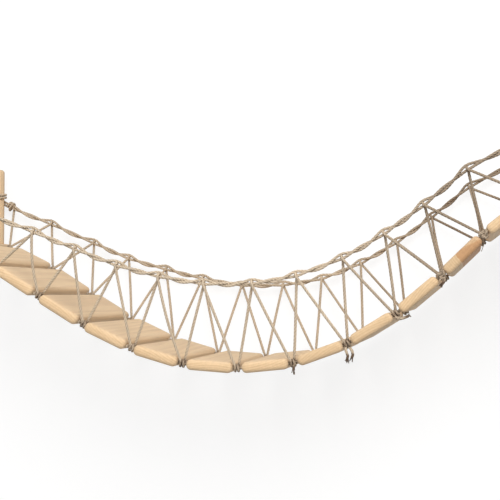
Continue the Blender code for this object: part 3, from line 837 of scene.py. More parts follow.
def make_posts(pine):
    """Four turned posts. They stand a hair above the shelves, on their screws."""
    half = Vector((POST_DIAMETER / 2, POST_DIAMETER / 2, POST_HEIGHT))
    chance = random.Random(9)
    for end, shelf in enumerate(SHELVES):
        for name, side in SIDES:
            mesh = turned("post", post_profile(), POST_SIDES)
            across = chance.uniform(-POST_PITH_ACROSS, POST_PITH_ACROSS) * MM
            deep = chance.uniform(*POST_PITH_DEEP) * MM
            pith = Vector((across, deep, chance.uniform(0, 1)))
            mark_wood(mesh, half, 2, pith, chance.uniform(*POST_TONES))
            shade_mesh(mesh, POST_SHARP)
            node = "post_%s_%s" % (shelf.name, name)
            x, z = post_centre(end)
            post = new_object(node + "_turned", mesh, pine)
            post.location = (x, post_y(side), z + SEAT_GAP)
            settle(post, END_BODY, "wood", node)


def cross_slot(depth, width, span):
    """The tools that press a cross into a screw's head, whose face is at Z = 0 and looks down."""
    tools = []
    for turn in (0.0, math.pi / 2):
        bm = bmesh.new()
        bmesh.ops.create_cube(bm, size=1.0)
        bmesh.ops.scale(bm, vec=(span, width, 2 * depth), verts=bm.verts)
        tools.append((mesh_from("cross", bm), Matrix.Rotation(turn, 4, "Z")))
    return tools


def screw_meshes(steel):
    """The long screw that holds a post, and the short one that holds a shelf to a bracket."""
    head = SCREW_HEAD_DIAMETER / 2
    shank = SCREW_DIAMETER / 2
    tip = SHELF_THICKNESS + SCREW_GRIP - SCREW_POINT
    profile = [(0.0, 0.0), (head, 0.0), (head, SCREW_HEAD_RIM), (shank, SCREW_HEAD_DEPTH)]
    profile += [(shank, tip - SCREW_POINT), (0.0, tip)]
    blank = turned("post_screw", profile, SCREW_SIDES)
    long_screw = cut_mesh(blank, cross_slot(*POST_SCREW_CROSS))
    blank = turned("shelf_screw", SHELF_SCREW_PROFILE, SCREW_SIDES)
    at_head = Matrix.Translation((0.0, 0.0, -SHELF_SCREW_HEAD_HEIGHT))
    cross = [(tool, at_head @ turn) for tool, turn in cross_slot(*SHELF_SCREW_CROSS)]
    short_screw = cut_mesh(blank, cross)
    for mesh in (long_screw, short_screw):
        shade_mesh(mesh, SCREW_SHARP)
        mesh.materials.append(steel)
    return long_screw, short_screw


def make_screws(steel):
    """All screws. Each is left at a turn of its own, as the screwdriver left it."""
    long_screw, short_screw = screw_meshes(steel)
    for end, shelf in enumerate(SHELVES):
        face = shelf.z - SHELF_THICKNESS / 2
        post_x, _ = post_centre(end)
        for name, side in SIDES:
            node = "post_screw_%s_%s" % (shelf.name, name)
            screw = new_object(node + "_cross", long_screw)
            screw.location = (post_x, post_y(side), face)
            screw.rotation_euler = (0.0, 0.0, POST_SCREW_TURN + end + side)
            settle(screw, END_BODY, "steel", node)
        for number, x in enumerate(bracket_places(shelf)):
            depths = (BRACKET_HOLE_FROM_BEND, BRACKET_REACH - BRACKET_HOLE_FROM_END)
            for place, depth in enumerate(depths):
                name = "shelf_screw_%s_%d_%d" % (shelf.name, number + 1, place + 1)
                screw = new_object(name, short_screw)
                screw.location = (x, -depth, face - SEAT_GAP - BRACKET_THICKNESS)
                turns = zip(SHELF_SCREW_TURNS, (number, place, end))
                screw.rotation_euler = (0.0, 0.0, sum(turn * count for turn, count in turns))
                settle(screw, END_BODY, "steel")


def bracket_places(shelf):
    """The X of a shelf's two brackets."""
    return [shelf.x + hand * (SHELF_LENGTH / 2 - BRACKET_INSET) for hand in (-1, 1)]


def bracket_outline():
    """The bent strip seen from its end, as (y, z): the wall leg down, the shelf leg out to -Y."""
    outer = BRACKET_BEND_RADIUS + BRACKET_THICKNESS
    drop = [(0.0, -BRACKET_DROP), (-BRACKET_THICKNESS, -BRACKET_DROP)]
    reach = [(-BRACKET_REACH, -BRACKET_THICKNESS), (-BRACKET_REACH, 0.0)]
    inside = arc(-outer, -outer, BRACKET_BEND_RADIUS, 0, 90)
    outside = arc(-outer, -outer, outer, 90, 0)
    return drop + inside + reach + outside


def sort_faces(bm):
    """Puts the faces in one order by their corners, because extruding leaves them in any order."""
    corners = {face: sorted(tuple(vert.co) for vert in face.verts) for face in bm.faces}
    for number, face in enumerate(sorted(bm.faces, key=corners.get)):
        face.index = number
    bm.faces.sort()


def bent_strip():
    """The bracket's strip without its holes, with the corners of both ends rounded."""
    bm = bmesh.new()
    ring = [bm.verts.new((-BRACKET_WIDTH / 2, y, z)) for y, z in bracket_outline()]
    face = bm.faces.new(ring)
    drawn = bmesh.ops.extrude_face_region(bm, geom=[face])
    moved = [v for v in drawn["geom"] if isinstance(v, bmesh.types.BMVert)]
    bmesh.ops.translate(bm, verts=moved, vec=(BRACKET_WIDTH, 0.0, 0.0))
    corners = []
    for edge in bm.edges:
        a, b = edge.verts
        thick = abs(edge.calc_length() - BRACKET_THICKNESS) < SEAT_GAP
        at_reach = max(a.co.y, b.co.y) < -BRACKET_REACH + BRACKET_THICKNESS / 2
        at_drop = max(a.co.z, b.co.z) < -BRACKET_DROP + BRACKET_THICKNESS / 2
        if thick and (at_reach or at_drop):
            corners.append(edge)
    rounding = dict(offset=BRACKET_CORNER_RADIUS, segments=ROUND_STEPS, affect="EDGES", profile=0.5)
    bmesh.ops.bevel(bm, geom=corners, **rounding)
    sort_faces(bm)
    return mesh_from("bracket", bm)


def bracket_holes():
    """The tools for a bracket's four screw holes, two through each leg."""
    hole = drill(BRACKET_HOLE_DIAMETER / 2, BRACKET_THICKNESS + CUT_OVERRUN)
    middle = BRACKET_THICKNESS / 2
    along_y = Matrix.Rotation(math.radians(90), 4, "X")
    tools = []
    for depth in (BRACKET_HOLE_FROM_BEND, BRACKET_DROP - BRACKET_HOLE_FROM_END):
        tools.append((hole, Matrix.Translation((0.0, -middle, -depth)) @ along_y))
    for depth in (BRACKET_HOLE_FROM_BEND, BRACKET_REACH - BRACKET_HOLE_FROM_END):
        tools.append((hole, Matrix.Translation((0.0, -depth, -middle))))
    return tools


def bracket_mesh():
    """A bent steel strip with rounded ends, four screw holes and softened edges."""
    blank = new_object("bracket_blank", cut_mesh(bent_strip(), bracket_holes()))
    ease = blank.modifiers.new("ease", "BEVEL")
    ease.width = BRACKET_EDGE_EASE
    ease.segments = 2
    ease.limit_method = "ANGLE"
    ease.angle_limit = math.radians(BRACKET_EASE_ANGLE)
    mesh = finished(blank)
    shade_mesh(mesh, BRACKET_SHARP)
    return mesh


def make_brackets(steel):
    """Two brackets under each shelf, a hair below it."""
    sheet = bracket_mesh()
    sheet.materials.append(steel)
    for shelf in SHELVES:
        for number, x in enumerate(bracket_places(shelf)):
            name = "bracket_%s_%d" % (shelf.name, number + 1)
            holder = new_object(name + "_strip", sheet)
            holder.location = (x, 0.0, shelf.z - SHELF_THICKNESS / 2 - SEAT_GAP)
            settle(holder, END_BODY, "steel", name)


def turn_angles(turns, steps):
    """Angles in radians that run through a number of turns, with so many steps in each."""
    return [2 * math.pi * step / steps for step in range(round(turns * steps) + 1)]


def knot_along(angle):
    """How far along the lower rope the knot's cord lies. Its turns lean, to keep in the gap."""
    turned_by = (angle - math.pi * KNOT_TURNS) / (2 * math.pi)
    return KNOT_PITCH * (turned_by + KNOT_SLANT_SHARE * math.cos(angle))


def knot_points(station):
    """The cord's turns round the lower rope, from the outer side, under it, to the inner side."""
    points = []
    for angle in turn_angles(KNOT_TURNS, KNOT_STEPS):
        out = KNOT_RADIUS * math.cos(angle)
        up = -KNOT_RADIUS * math.sin(angle)
        points.append(station.at(knot_along(angle), out, up))
    return points


def leg_foot(station, up):
    """A point of the leg that rises from a knot's inner side."""
    return station.at(knot_along(2 * math.pi * KNOT_TURNS), -KNOT_RADIUS, up)


def leg_arrival(station, up):
    """A point of the leg that comes down to a knot's outer side."""
    return station.at(knot_along(0.0), KNOT_RADIUS, up)


def loop_points(number, side):
    """The bend over the hand rope's lower strand, from the inner side to the outer side."""
    strand = strand_points(side, 0)
    middle = number * STRAND_STEPS
    run = strand[middle + 1] - strand[middle - 1]
    station = Station(strand[middle], math.atan2(run.z, run.x), side)
    points = []
    for angle in turn_angles(0.5, KNOT_STEPS):
        points.append(station.at(0.0, -LOOP_RADIUS * math.cos(angle), LOOP_RADIUS * math.sin(angle)))
    return points


def leg_points(start, finish, bow):
    """Points of a leg between two places. It bows along X a little, as a limp cord does."""
    points = []
    for share in LEG_SHARES:
        point = start.lerp(finish, share)
        point.x += bow * math.sin(math.pi * share)
        points.append(point)
    return points


def net_bay(number, side, chance):
    """One bay of the net: up from one knot, over the hand rope, down to the next knot."""
    start = knot_station(number, side)
    finish = knot_station(number + 1, side)
    bows = []
    for leg in (0, 1):
        bow = chance.uniform(-LEG_BOW, LEG_BOW)
        bows.append(LEG_BOWS.get((side, number + 1, leg), bow))
    loop = loop_points(number + 1, side)
    foot = leg_foot(start, LEG_RISE)
    arrival = leg_arrival(finish, LEG_RISE)
    points = [leg_foot(start, KNOT_TAIL), foot]
    points += leg_points(foot, loop[0], bows[0])
    points += loop
    points += leg_points(loop[-1], arrival, bows[1])
    points += [arrival, *knot_points(finish), leg_foot(finish, KNOT_TAIL)]
    return points


def hitch_points(station):
    """One and a half turns round both strands of the hand rope, from its inner to its outer side."""
    radius = STRAND_OFFSET + CORD_DIAMETER + CORD_CLEARANCE / 4
    points = []
    for turned_by in turn_angles(KNOT_TURNS, KNOT_STEPS):
        angle = turned_by - 2 * math.pi * KNOT_TURNS
        along = KNOT_PITCH * (angle / (2 * math.pi) + KNOT_TURNS / 2)
        points.append(station.at(along, radius * math.cos(angle), -radius * math.sin(angle)))
    return points


def net_start(side):
    """The net's first leg, from the hand rope beside the left post down to the first knot."""
    first = knot_station(0, side)
    points = hitch_points(rope_station(0, side))
    arrival = leg_arrival(first, LEG_RISE)
    points += leg_points(points[-1], arrival, 0.0)
    points += [arrival, *knot_points(first), leg_foot(first, KNOT_TAIL)]
    return points


def net_finish(side):
    """The net's last leg, from the last knot up to the hand rope beside the right post."""
    last = knot_station(SLAT_COUNT, side)
    top = rope_station(SLAT_COUNT + 1, side)
    mirrored = Station(top.origin, 0.0, -side)
    mirrored.along = -top.along
    mirrored.up = top.up
    hitch = list(reversed(hitch_points(mirrored)))
    foot = leg_foot(last, LEG_RISE)
    return [leg_foot(last, KNOT_TAIL), foot, *leg_points(foot, hitch[0], 0.0), *hitch]


def loose_routes(knot, table):
    """Routes of the loose ends or yarns that hang from a knot of the front."""
    routes = []
    for ends in table.get(knot, ()):
        place = Station(knot_station(knot, FRONT).origin, 0.0, FRONT)
        points = [place.at(along * MM, out * MM, up * MM) for along, out, up in ends]
        routes.append(smooth_route(points, CORD_STEP))
    return routes


def joining_knot(knot):
    """A small overhand knot that joins two lengths of cord, in front of the gap."""
    place = knot_station(knot, FRONT)
    reach = CORD_DRAWN / 2
    points = []
    for angle in turn_angles(1, JOINING_KNOT_STEPS):
        along = JOINING_KNOT_ALONG * reach * (math.sin(angle) + 2 * math.sin(2 * angle))
        up = JOINING_KNOT_UP * reach * (math.cos(angle) - 2 * math.cos(2 * angle))
        out = JOINING_KNOT_DEPTH * reach * math.sin(3 * angle)
        points.append(place.at(along, JOINING_KNOT_OUT + out, up))
    return points


def frayed(end, chance):
    """The yarns that spread from a loose end of cord."""
    run = (end[-1] - end[-3]).normalized()
    yarns = []
    for _ in range(YARNS_PER_END):
        aside = Vector([chance.uniform(-1.0, 1.0) for _ in range(3)])
        aside -= run * aside.dot(run)
        start = end[-1] - run * YARN_ROOT + aside * YARN_ROOT_SPREAD
        middle = start + run * YARN_MIDDLE + aside * YARN_MIDDLE_SPREAD
        reach = chance.uniform(*YARN_TIP) * MM
        tip = middle + run * reach + aside * (chance.uniform(*YARN_TIP_SPREAD) * MM)
        tip.z -= YARN_DROOP
        yarns.append(smooth_route([start, middle, tip], YARN_STEP))
    return yarns


def make_nets(cord):
    """Both nets. The front one has loose ends, yarns and joining knots at some of its knots."""
    chance = random.Random(21)
    loose_chance = random.Random(5)
    for name, side in SIDES:
        bays = [("start", net_start(side), END_BODY)]
        for number in range(SLAT_COUNT):
            label = "%02d" % (number + 1)
            bays.append((label, net_bay(number, side, chance), slat_body(number)))
        bays.append(("finish", net_finish(side), END_BODY))
        for number, (label, points, body) in enumerate(bays):
            node = "net_%s_%s" % (name, label)
            beside = [knot for knot in (number - 1, number) if 0 <= knot <= SLAT_COUNT]
            knots = [knot_station(knot, side).origin for knot in beside]
            routes = [smooth_route(points, CORD_STEP)]
            yarns = []
            if side == FRONT:
                ends = loose_routes(number, LOOSE_ENDS)
                routes += ends
                knots += [end[-1] for end in ends]
                yarns = [yarn for end in ends for yarn in frayed(end, loose_chance)]
                yarns += loose_routes(number, LOOSE_YARNS)
                if number in JOINING_KNOTS:
                    routes.append(smooth_route(joining_knot(number), CORD_STEP))
            piece = cord_piece(node + "_cord", routes, CORD_DRAWN, cord, knots)
            settle(piece, body, "cord", node)
            if yarns:
                settle(cord_piece(node + "_yarns", yarns, YARN_DIAMETER, cord, knots), body, "cord")


def winding_points(end, side, strand):
    """A strand's turns round a post, from its loose end to the place where it leaves."""
    x, _ = post_centre(end)
    height = winding_exit(end, side).z + strand * WINDING_PITCH
    points = []
    for angle in reversed(turn_angles(WINDING_TURNS, WINDING_STEPS)):
        dx = -SHELVES[end].inward * POST_WINDING_RADIUS * math.sin(angle)
        dy = side * POST_WINDING_RADIUS * math.cos(angle)
        z = height + WINDING_PITCH * angle / math.pi
        points.append(Vector((x + dx, post_y(side) + dy, z)))
    return points


def strand_points(side, strand):
    """Points of one strand along all bays. It eases over each bend rather than turn a corner."""
    points = []
    for bay in range(SLAT_COUNT + 1):
        for step in range(STRAND_STEPS):
            points.append(strand_point(side, bay, step / STRAND_STEPS, strand))
    points.append(strand_point(side, SLAT_COUNT, 1.0, strand))
    for _ in range(STRAND_EASING):
        inner = zip(points, points[1:], points[2:])
        points = [points[0], *[(a + 2 * b + c) / 4 for a, b, c in inner], points[-1]]
    for point in points[1:-1]:
        point.z += STRAND_LIFT
    return points


def strand_point(side, bay, share, strand):
    """A point of a strand, at a share of the way along a bay. A strand turns once in each bay."""
    nodes = rope_nodes(side)
    start = rope_station(bay, side)
    finish = rope_station(bay + 1, side)
    middle = nodes[bay].lerp(nodes[bay + 1], share)
    middle.z -= ROPE_SAG * math.sin(math.pi * share)
    turned_by = ramp(share, TWIST_START_SHARE, 1 - TWIST_START_SHARE)
    angle = math.pi * (2 * turned_by + strand)
    # The strands open at a bend, and not at the two end nodes
    if share < 0.5:
        at_bend = bay > 0
        closing = STRAND_CLOSINGS[0]
    else:
        at_bend = bay < SLAT_COUNT
        closing = STRAND_CLOSINGS[1]
    opened = math.cos(math.pi * share) ** closing if at_bend else 0.0
    offset = STRAND_OFFSET + opened * (STRAND_OPEN - STRAND_OFFSET)
    up = start.up.lerp(finish.up, share).normalized()
    return middle + up * (-offset * math.cos(angle)) + start.out * (offset * math.sin(angle))


def nearest_on(route, place):
    """The number of the route's point nearest to a place."""
    return min(range(len(route)), key=lambda number: (route[number] - place).length)


def strand_routes(side, strand):
    """One strand's smooth routes: its left winding, its bays and its right winding."""
    left = winding_points(0, side, strand)
    right = reversed(winding_points(1, side, strand))
    points = [*left, *strand_points(side, strand), *right]
    joints = [0, *[len(left) + STRAND_STEPS * bay for bay in range(SLAT_COUNT + 2)]]
    joints.append(len(points) - 1)
    routes = []
    for first, last in zip(joints, joints[1:]):
        route = smooth_route(points[max(first - 2, 0):last + 3], CORD_STEP)
        begin, end = [nearest_on(route, points[joint]) for joint in (first, last)]
        routes.append(route[begin:end + 1])
    return routes


def hang_between(piece, gap):
    """The piece keeps its place, with its placing baked into its mesh, where a joint joins the bodies
    beside a gap, and rides on the left one where none does.
    """
    left = slat_body(gap - 1)
    right = slat_body(gap)
    if frozenset((left, right)) in JOINED:
        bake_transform(piece)
    else:
        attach(piece, left)


def make_hand_ropes(cord):
    """Two strands along each side, in a piece for each bay, and their turns round the posts."""
    chance = random.Random(13)
    for name, side in SIDES:
        strands = [strand_routes(side, strand) for strand in (0, 1)]
        nodes = ["hand_rope_%s_%s" % (name, letter) for letter in "ab"]
        last = len(strands[0]) - 1
        for part, routes in enumerate(zip(*strands)):
            if part in (0, last):
                label = "%s_%s" % ("left" if part == 0 else "right", name)
                piece = cord_piece("post_winding_" + label, routes, CORD_DRAWN, cord)
                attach(piece, END_BODY)
                ends = [list(reversed(route)) if part == 0 else route for route in routes]
                yarns = [yarn for end in ends for yarn in frayed(end, chance)]
                fringe = cord_piece("winding_yarns_" + label, yarns, YARN_DIAMETER, cord)
                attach(fringe, END_BODY)
            else:
                label = "hand_rope_%s_bay_%02d" % (name, part)
                piece = cord_piece(label, routes, CORD_DRAWN, cord)
                hang_between(piece, part - 1)
            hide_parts(*nodes)


def stopper_points(shelf, side):
    """The rope's end knot on a shelf's outer edge: out along its own line, then wound back."""
    seat = shelf.x - shelf.inward * SHELF_LENGTH / 2
    y = BRIDGE_Y + side * SIDE_SPACING / 2
    reach = LOWER_ROPE_DIAMETER + CORD_CLEARANCE / 4
    pitch = LOWER_ROPE_DIAMETER + CORD_CLEARANCE
    foot = LOWER_ROPE_DIAMETER / 2 + SEAT_GAP
    points = []
    for angle in turn_angles(KNOT_TURNS, KNOT_STEPS):
        out = foot + pitch * angle / (2 * math.pi)
        aside = side * reach * math.sin(angle)
        up = -reach * math.cos(angle)
        points.append(Vector((seat - shelf.inward * out, y + aside, shelf.z + up)))
    top = foot + pitch * KNOT_TURNS
    for out, up in ((top + LOWER_ROPE_DIAMETER, reach / 2), (top, 0.0), (0.0, 0.0)):
        points.append(Vector((seat - shelf.inward * out, y, shelf.z + up)))
    return points


def hole_mouth(number, side, end):
    """The rope inside and at the mouth of a slat's or shelf's hole, in order from the left."""
    if 0 <= number < SLAT_COUNT:
        place = slat_station(number, side)
        half = SLAT_WIDTH / 2
    else:
        shelf = SHELVES[0 if number < 0 else 1]
        place = Station(Vector((shelf.x, BRIDGE_Y, shelf.z)), 0.0, side)
        half = SHELF_LENGTH / 2
    mouth = place.at(end * half, SIDE_SPACING / 2)
    inside = place.at(end * (half - HIDDEN_REACH), SIDE_SPACING / 2)
    return [inside, mouth] if end > 0 else [mouth, inside]


def make_stopper_knots(cord):
    """The lower ropes' end knots, on the outer edges of the shelves."""
    for shelf in SHELVES:
        for name, side in SIDES:
            points = stopper_points(shelf, side)
            inside = shelf.x + shelf.inward * (SHELF_LENGTH / 2 - HIDDEN_REACH)
            points.append(Vector((inside, points[-1].y, shelf.z)))
            label = "stopper_knot_%s_%s" % (shelf.name, name)
            piece = cord_piece(label, [smooth_route(points, CORD_STEP)], LOWER_ROPE_DIAMETER, cord)
            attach(piece, END_BODY)
            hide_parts("lower_rope_" + name)


def make_ropes_in_slats(cord):
    """Both lower ropes where they lie in a slat, in one piece for each slat."""
    inside = SLAT_WIDTH / 2 - HIDDEN_REACH
    for number in range(SLAT_COUNT):
        routes = []
        for _, side in SIDES:
            slat = slat_station(number, side)
            ends = [slat.at(end * inside, SIDE_SPACING / 2) for end in (-1, 1)]
            routes.append(smooth_route(ends, STRAIGHT_STEP))
        label = "lower_rope_in_" + slat_body(number)
        piece = cord_piece(label, routes, LOWER_ROPE_DIAMETER, cord)
        settle(piece, slat_body(number), "cord", *LOWER_ROPES)


def make_ropes_in_gaps(cord):
    """Both lower ropes from slat to slat, in one piece for each gap."""
    for gap in range(SLAT_COUNT + 1):
        routes = []
        knots = []
        for _, side in SIDES:
            knot = knot_station(gap, side)
            knots.append(knot.origin)
            in_knot = [knot.at(end * ROPE_STRAIGHT_IN_KNOT) for end in (-1, 1)]
            points = hole_mouth(gap - 1, side, 1) + in_knot + hole_mouth(gap, side, -1)
            routes.append(smooth_route(points, CORD_STEP))
        label = "lower_rope_gap_%02d" % gap
        piece = cord_piece(label, routes, LOWER_ROPE_DIAMETER, cord, knots)
        hang_between(piece, gap)
        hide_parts(*LOWER_ROPES)


def place_node(tree, kind, inputs=None, **settings):
    """A new node. Each of its inputs is a number, a colour or the socket that feeds it."""
    node = tree.nodes.new("ShaderNode" + kind)
    node.location = (190.0 * (len(tree.nodes) % 12), -260.0 * (len(tree.nodes) // 12))
    for name, value in settings.items():
        setattr(node, name, value)
    for name, value in (inputs or {}).items():
        if isinstance(value, bpy.types.NodeSocket):
            tree.links.new(value, node.inputs[name])
        else:
            node.inputs[name].default_value = value
    return node


def calculate(tree, operation, *values):
    """A number worked out from other numbers or sockets."""
    return place_node(tree, "Math", dict(enumerate(values)), operation=operation).outputs[0]


def product(tree, value, *others):
    """Numbers or sockets multiplied together."""
    for other in others:
        value = calculate(tree, "MULTIPLY", value, other)
    return value


def stretch(tree, vector, by):
    """A place stretched by a factor each way."""
    return place_node(tree, "VectorMath", {0: vector, 1: by}, operation="MULTIPLY").outputs[0]


def cloud(tree, vector, scale, detail=2.0, roughness=0.5):
    """Soft random patches, from 0 to 1, with a mean near a half."""
    inputs = {"Vector": vector, "Scale": scale, "Detail": detail, "Roughness": roughness}
    return place_node(tree, "TexNoise", inputs).outputs[0]


def remap(tree, value, low, high, to_low=0.0, to_high=1.0, kind="SMOOTHSTEP"):
    """The value stretched from one range to another, and held to it."""
    inputs = {"Value": value, "From Min": low, "From Max": high, "To Min": to_low, "To Max": to_high}
    return place_node(tree, "MapRange", inputs, interpolation_type=kind).outputs[0]


def level(tree, value, low, high, to_low, to_high):
    """As remap, but along a straight line."""
    return remap(tree, value, low, high, to_low, to_high, "LINEAR")


def read_attribute(tree, name, output="Fac"):
    """What write_attribute gave each point of the mesh."""
    return place_node(tree, "Attribute", attribute_name=name).outputs[output]


def mix_colours(tree, share, first, second, blend="MIX"):
    """The first colour with its share of the second mixed into it."""
    inputs = {0: share, 6: first, 7: second}
    return place_node(tree, "Mix", inputs, data_type="RGBA", blend_type=blend).outputs[2]


def tint(tree, colour, amount):
    """The colour times a grey amount."""
    grey = place_node(tree, "CombineColor", {0: amount, 1: amount, 2: amount}).outputs[0]
    return mix_colours(tree, 1.0, colour, grey, blend="MULTIPLY")


def effect_group(name, inputs):
    """An empty node group. Its inputs are given as (name, kind, first value)."""
    tree = bpy.data.node_groups.new(name, "ShaderNodeTree")
    for label, kind, value in inputs:
        socket = tree.interface.new_socket(label, in_out="INPUT", socket_type="NodeSocket" + kind)
        socket.default_value = value
    for label, kind in (("Colour", "Color"), ("Roughness", "Float"), ("Height", "Float")):
        tree.interface.new_socket(label, in_out="OUTPUT", socket_type="NodeSocket" + kind)
    return tree, tree.nodes.new("NodeGroupInput").outputs


def put_out(tree, colour, roughness, height):
    """Feeds an effect group's outputs."""
    target = tree.nodes.new("NodeGroupOutput")
    for label, socket in (("Colour", colour), ("Roughness", roughness), ("Height", height)):
        tree.links.new(socket, target.inputs[label])


def grain_patches(tree, place, length_share, scale, detail, roughness=0.5):
    """Patches drawn out along the grain, the more the smaller their length's share is."""
    drawn_out = stretch(tree, place, (1.0, length_share, 1.0))
    return cloud(tree, drawn_out, scale, detail, roughness)


def growth_rings(tree, place, distance, tone):
    """The dark latewood of each ring. The rings wander, and show as long arches on the faces."""
    wander = grain_patches(tree, place, 0.25, 9.0, 2.0)
    wander = calculate(tree, "MULTIPLY_ADD", wander, RING_WANDER, distance)
    rings = calculate(tree, "DIVIDE", wander, RING_WIDTH)
    uneven = cloud(tree, place_node(tree, "CombineXYZ", {0: rings, 1: tone}).outputs[0], 0.7, 1.0)
    across = calculate(tree, "FRACT", calculate(tree, "ADD", rings, uneven))
    rise = remap(tree, across, 0.25, 0.86)
    return product(tree, rise, remap(tree, across, 0.90, 1.0, 1.0, 0.0))


def heartwood(tree, place, distance, streak):
    """The reddish wood round the pith, with paler wood beside it on one side."""
    edge = calculate(tree, "MULTIPLY_ADD", streak, 3.0 * MM, distance)
    heart = remap(tree, edge, HEARTWOOD_RADIUS, HEARTWOOD_RADIUS + HEARTWOOD_FADE, 0.9, 0.0)
    split = place_node(tree, "SeparateXYZ", {0: place}).outputs
    beside = calculate(tree, "MULTIPLY_ADD", split[0], PALER_SLANT, split[2])
    beside = calculate(tree, "MULTIPLY_ADD", streak, HEARTWOOD_FADE, beside)
    return product(tree, heart, remap(tree, beside, PALER_FROM, PALER_TO, 1.0, 0.3))


def pine_grain():
    """Pine: growth rings round the pith, long fibres, resin streaks, heartwood and worn edges."""
    tree, given = effect_group("Pine grain", [
        ("Pale Wood", "Color", (0.83, 0.62, 0.40, 1.0)),
        ("Ring Wood", "Color", (0.60, 0.36, 0.17, 1.0)),
        ("Heart Wood", "Color", (0.65, 0.37, 0.19, 1.0)),
        ("End Stain", "Color", (0.94, 0.90, 0.83, 1.0)),
        ("Rubbed Wood", "Color", (0.87, 0.68, 0.47, 1.0)),
        ("Ring Strength", "Float", 0.3),
    ])
    place = read_attribute(tree, "log_place", "Vector")
    tone, ends, worn = [read_attribute(tree, name) for name in ("board_tone", "end_grain", "worn_edge")]
    flat = stretch(tree, place, (1.0, 0.0, 1.0))
    distance = place_node(tree, "VectorMath", {0: flat}, operation="LENGTH").outputs["Value"]
    latewood = growth_rings(tree, place, distance, tone)
    fibre = grain_patches(tree, place, 0.025, 1500.0, 2.0, 0.6)
    streak = grain_patches(tree, place, 0.03, 330.0, 3.0, 0.6)
    resin = remap(tree, grain_patches(tree, place, 0.05, 700.0, 1.0), 0.68, 0.78)
    patch = grain_patches(tree, place, 0.35, 22.0, 3.0)
    pores = remap(tree, grain_patches(tree, place, 0.2, 2600.0, 1.0), 0.60, 0.75)
    ring_share = product(tree, latewood, given["Ring Strength"])
    colour = mix_colours(tree, ring_share, given["Pale Wood"], given["Ring Wood"])
    heart = heartwood(tree, place, distance, streak)
    colour = mix_colours(tree, heart, colour, given["Heart Wood"])
    shade_of_wood = product(
        tree,
        level(tree, streak, 0.25, 0.75, 0.93, 1.04),
        level(tree, patch, 0.25, 0.75, 0.93, 1.05),
        level(tree, fibre, 0.25, 0.75, 0.96, 1.03),
        level(tree, tone, 0.0, 1.0, 1.03, 0.88),
        level(tree, resin, 0.0, 1.0, 1.0, 0.86),
        level(tree, product(tree, pores, ends), 0.0, 1.0, 1.0, 0.88),
    )
    colour = tint(tree, colour, shade_of_wood)
    colour = mix_colours(tree, ends, colour, given["End Stain"], blend="MULTIPLY")
    rubbed = product(tree, worn, remap(tree, patch, 0.35, 0.65), 0.45)
    colour = mix_colours(tree, rubbed, colour, given["Rubbed Wood"])
    # Latewood is harder, so that it stands proud and shines a little more
    rough = level(tree, latewood, 0.0, 1.0, 0.66, 0.52)
    rough = calculate(tree, "MULTIPLY_ADD", fibre, 0.12, rough)
    put_out(tree, colour, rough, calculate(tree, "MULTIPLY_ADD", fibre, 0.55, latewood))
    return tree


def twisted_cord():
    """A cord laid of twisted strands, drawn on the cord's own map, with loose fibres on it."""
    tree, given = effect_group("Twisted cord", [
        ("Cord Light", "Color", (0.76, 0.62, 0.46, 1.0)),
        ("Cord Dark", "Color", (0.38, 0.27, 0.17, 1.0)),
        ("Strands", "Float", float(CORD_STRANDS)),
        ("Lay", "Float", CORD_LAY),
        ("Grime", "Color", (0.17, 0.11, 0.07, 1.0)),
    ])
    drawn = place_node(tree, "UVMap", uv_map="along_cord").outputs[0]
    split = place_node(tree, "SeparateXYZ", {0: drawn})
    round_cord, along = split.outputs[0], split.outputs[1]
    place = place_node(tree, "TexCoord").outputs["Object"]
    # Strands: each winds once round the cord in its lay
    turned_by = calculate(tree, "DIVIDE", along, given["Lay"])
    turned_from = calculate(tree, "SUBTRACT", round_cord, turned_by)
    phase = product(tree, turned_from, given["Strands"], math.pi)
    ridge = calculate(tree, "ABSOLUTE", calculate(tree, "SINE", phase))
    # Yarns in each strand lean the other way
    yarns_passed = product(tree, round_cord, YARNS_ROUND_CORD)
    yarn_turn = calculate(tree, "MULTIPLY_ADD", along, YARN_LEAN, yarns_passed)
    yarn = calculate(tree, "SINE", product(tree, yarn_turn, 2 * math.pi))
    yarn = remap(tree, yarn, -1.0, 1.0)
    fluff = cloud(tree, place, 1400.0, 3.0, 0.65)
    # Painted shade darkens the valleys between the strands
    valley_shade = remap(tree, ridge, 0.0, 0.55, 0.75, 0.0)
    colour = mix_colours(tree, valley_shade, given["Cord Light"], given["Cord Dark"])
    # Grime and painted shade, from the cord's attribute, cling to the fluff in patches
    grime_and_shade = product(
        tree,
        read_attribute(tree, "cord_grime"),
        level(tree, fluff, 0.3, 0.7, 0.8, 0.55),
        remap(tree, cloud(tree, place, 17.0, 1.0), 0.35, 0.65, 0.75, 1.2),
    )
    colour = mix_colours(tree, grime_and_shade, colour, given["Grime"])
    shade_of_cord = product(
        tree,
        level(tree, yarn, 0.0, 1.0, 0.90, 1.06),
        level(tree, fluff, 0.3, 0.7, 0.88, 1.10),
        level(tree, cloud(tree, place, 42.0, 2.0), 0.3, 0.7, 0.93, 1.06),
    )
    height = calculate(tree, "MULTIPLY_ADD", yarn, 0.22, ridge)
    height = calculate(tree, "MULTIPLY_ADD", fluff, 0.30, height)
    rough = level(tree, fluff, 0.3, 0.7, 0.78, 0.95)
    put_out(tree, tint(tree, colour, shade_of_cord), rough, height)
    return tree


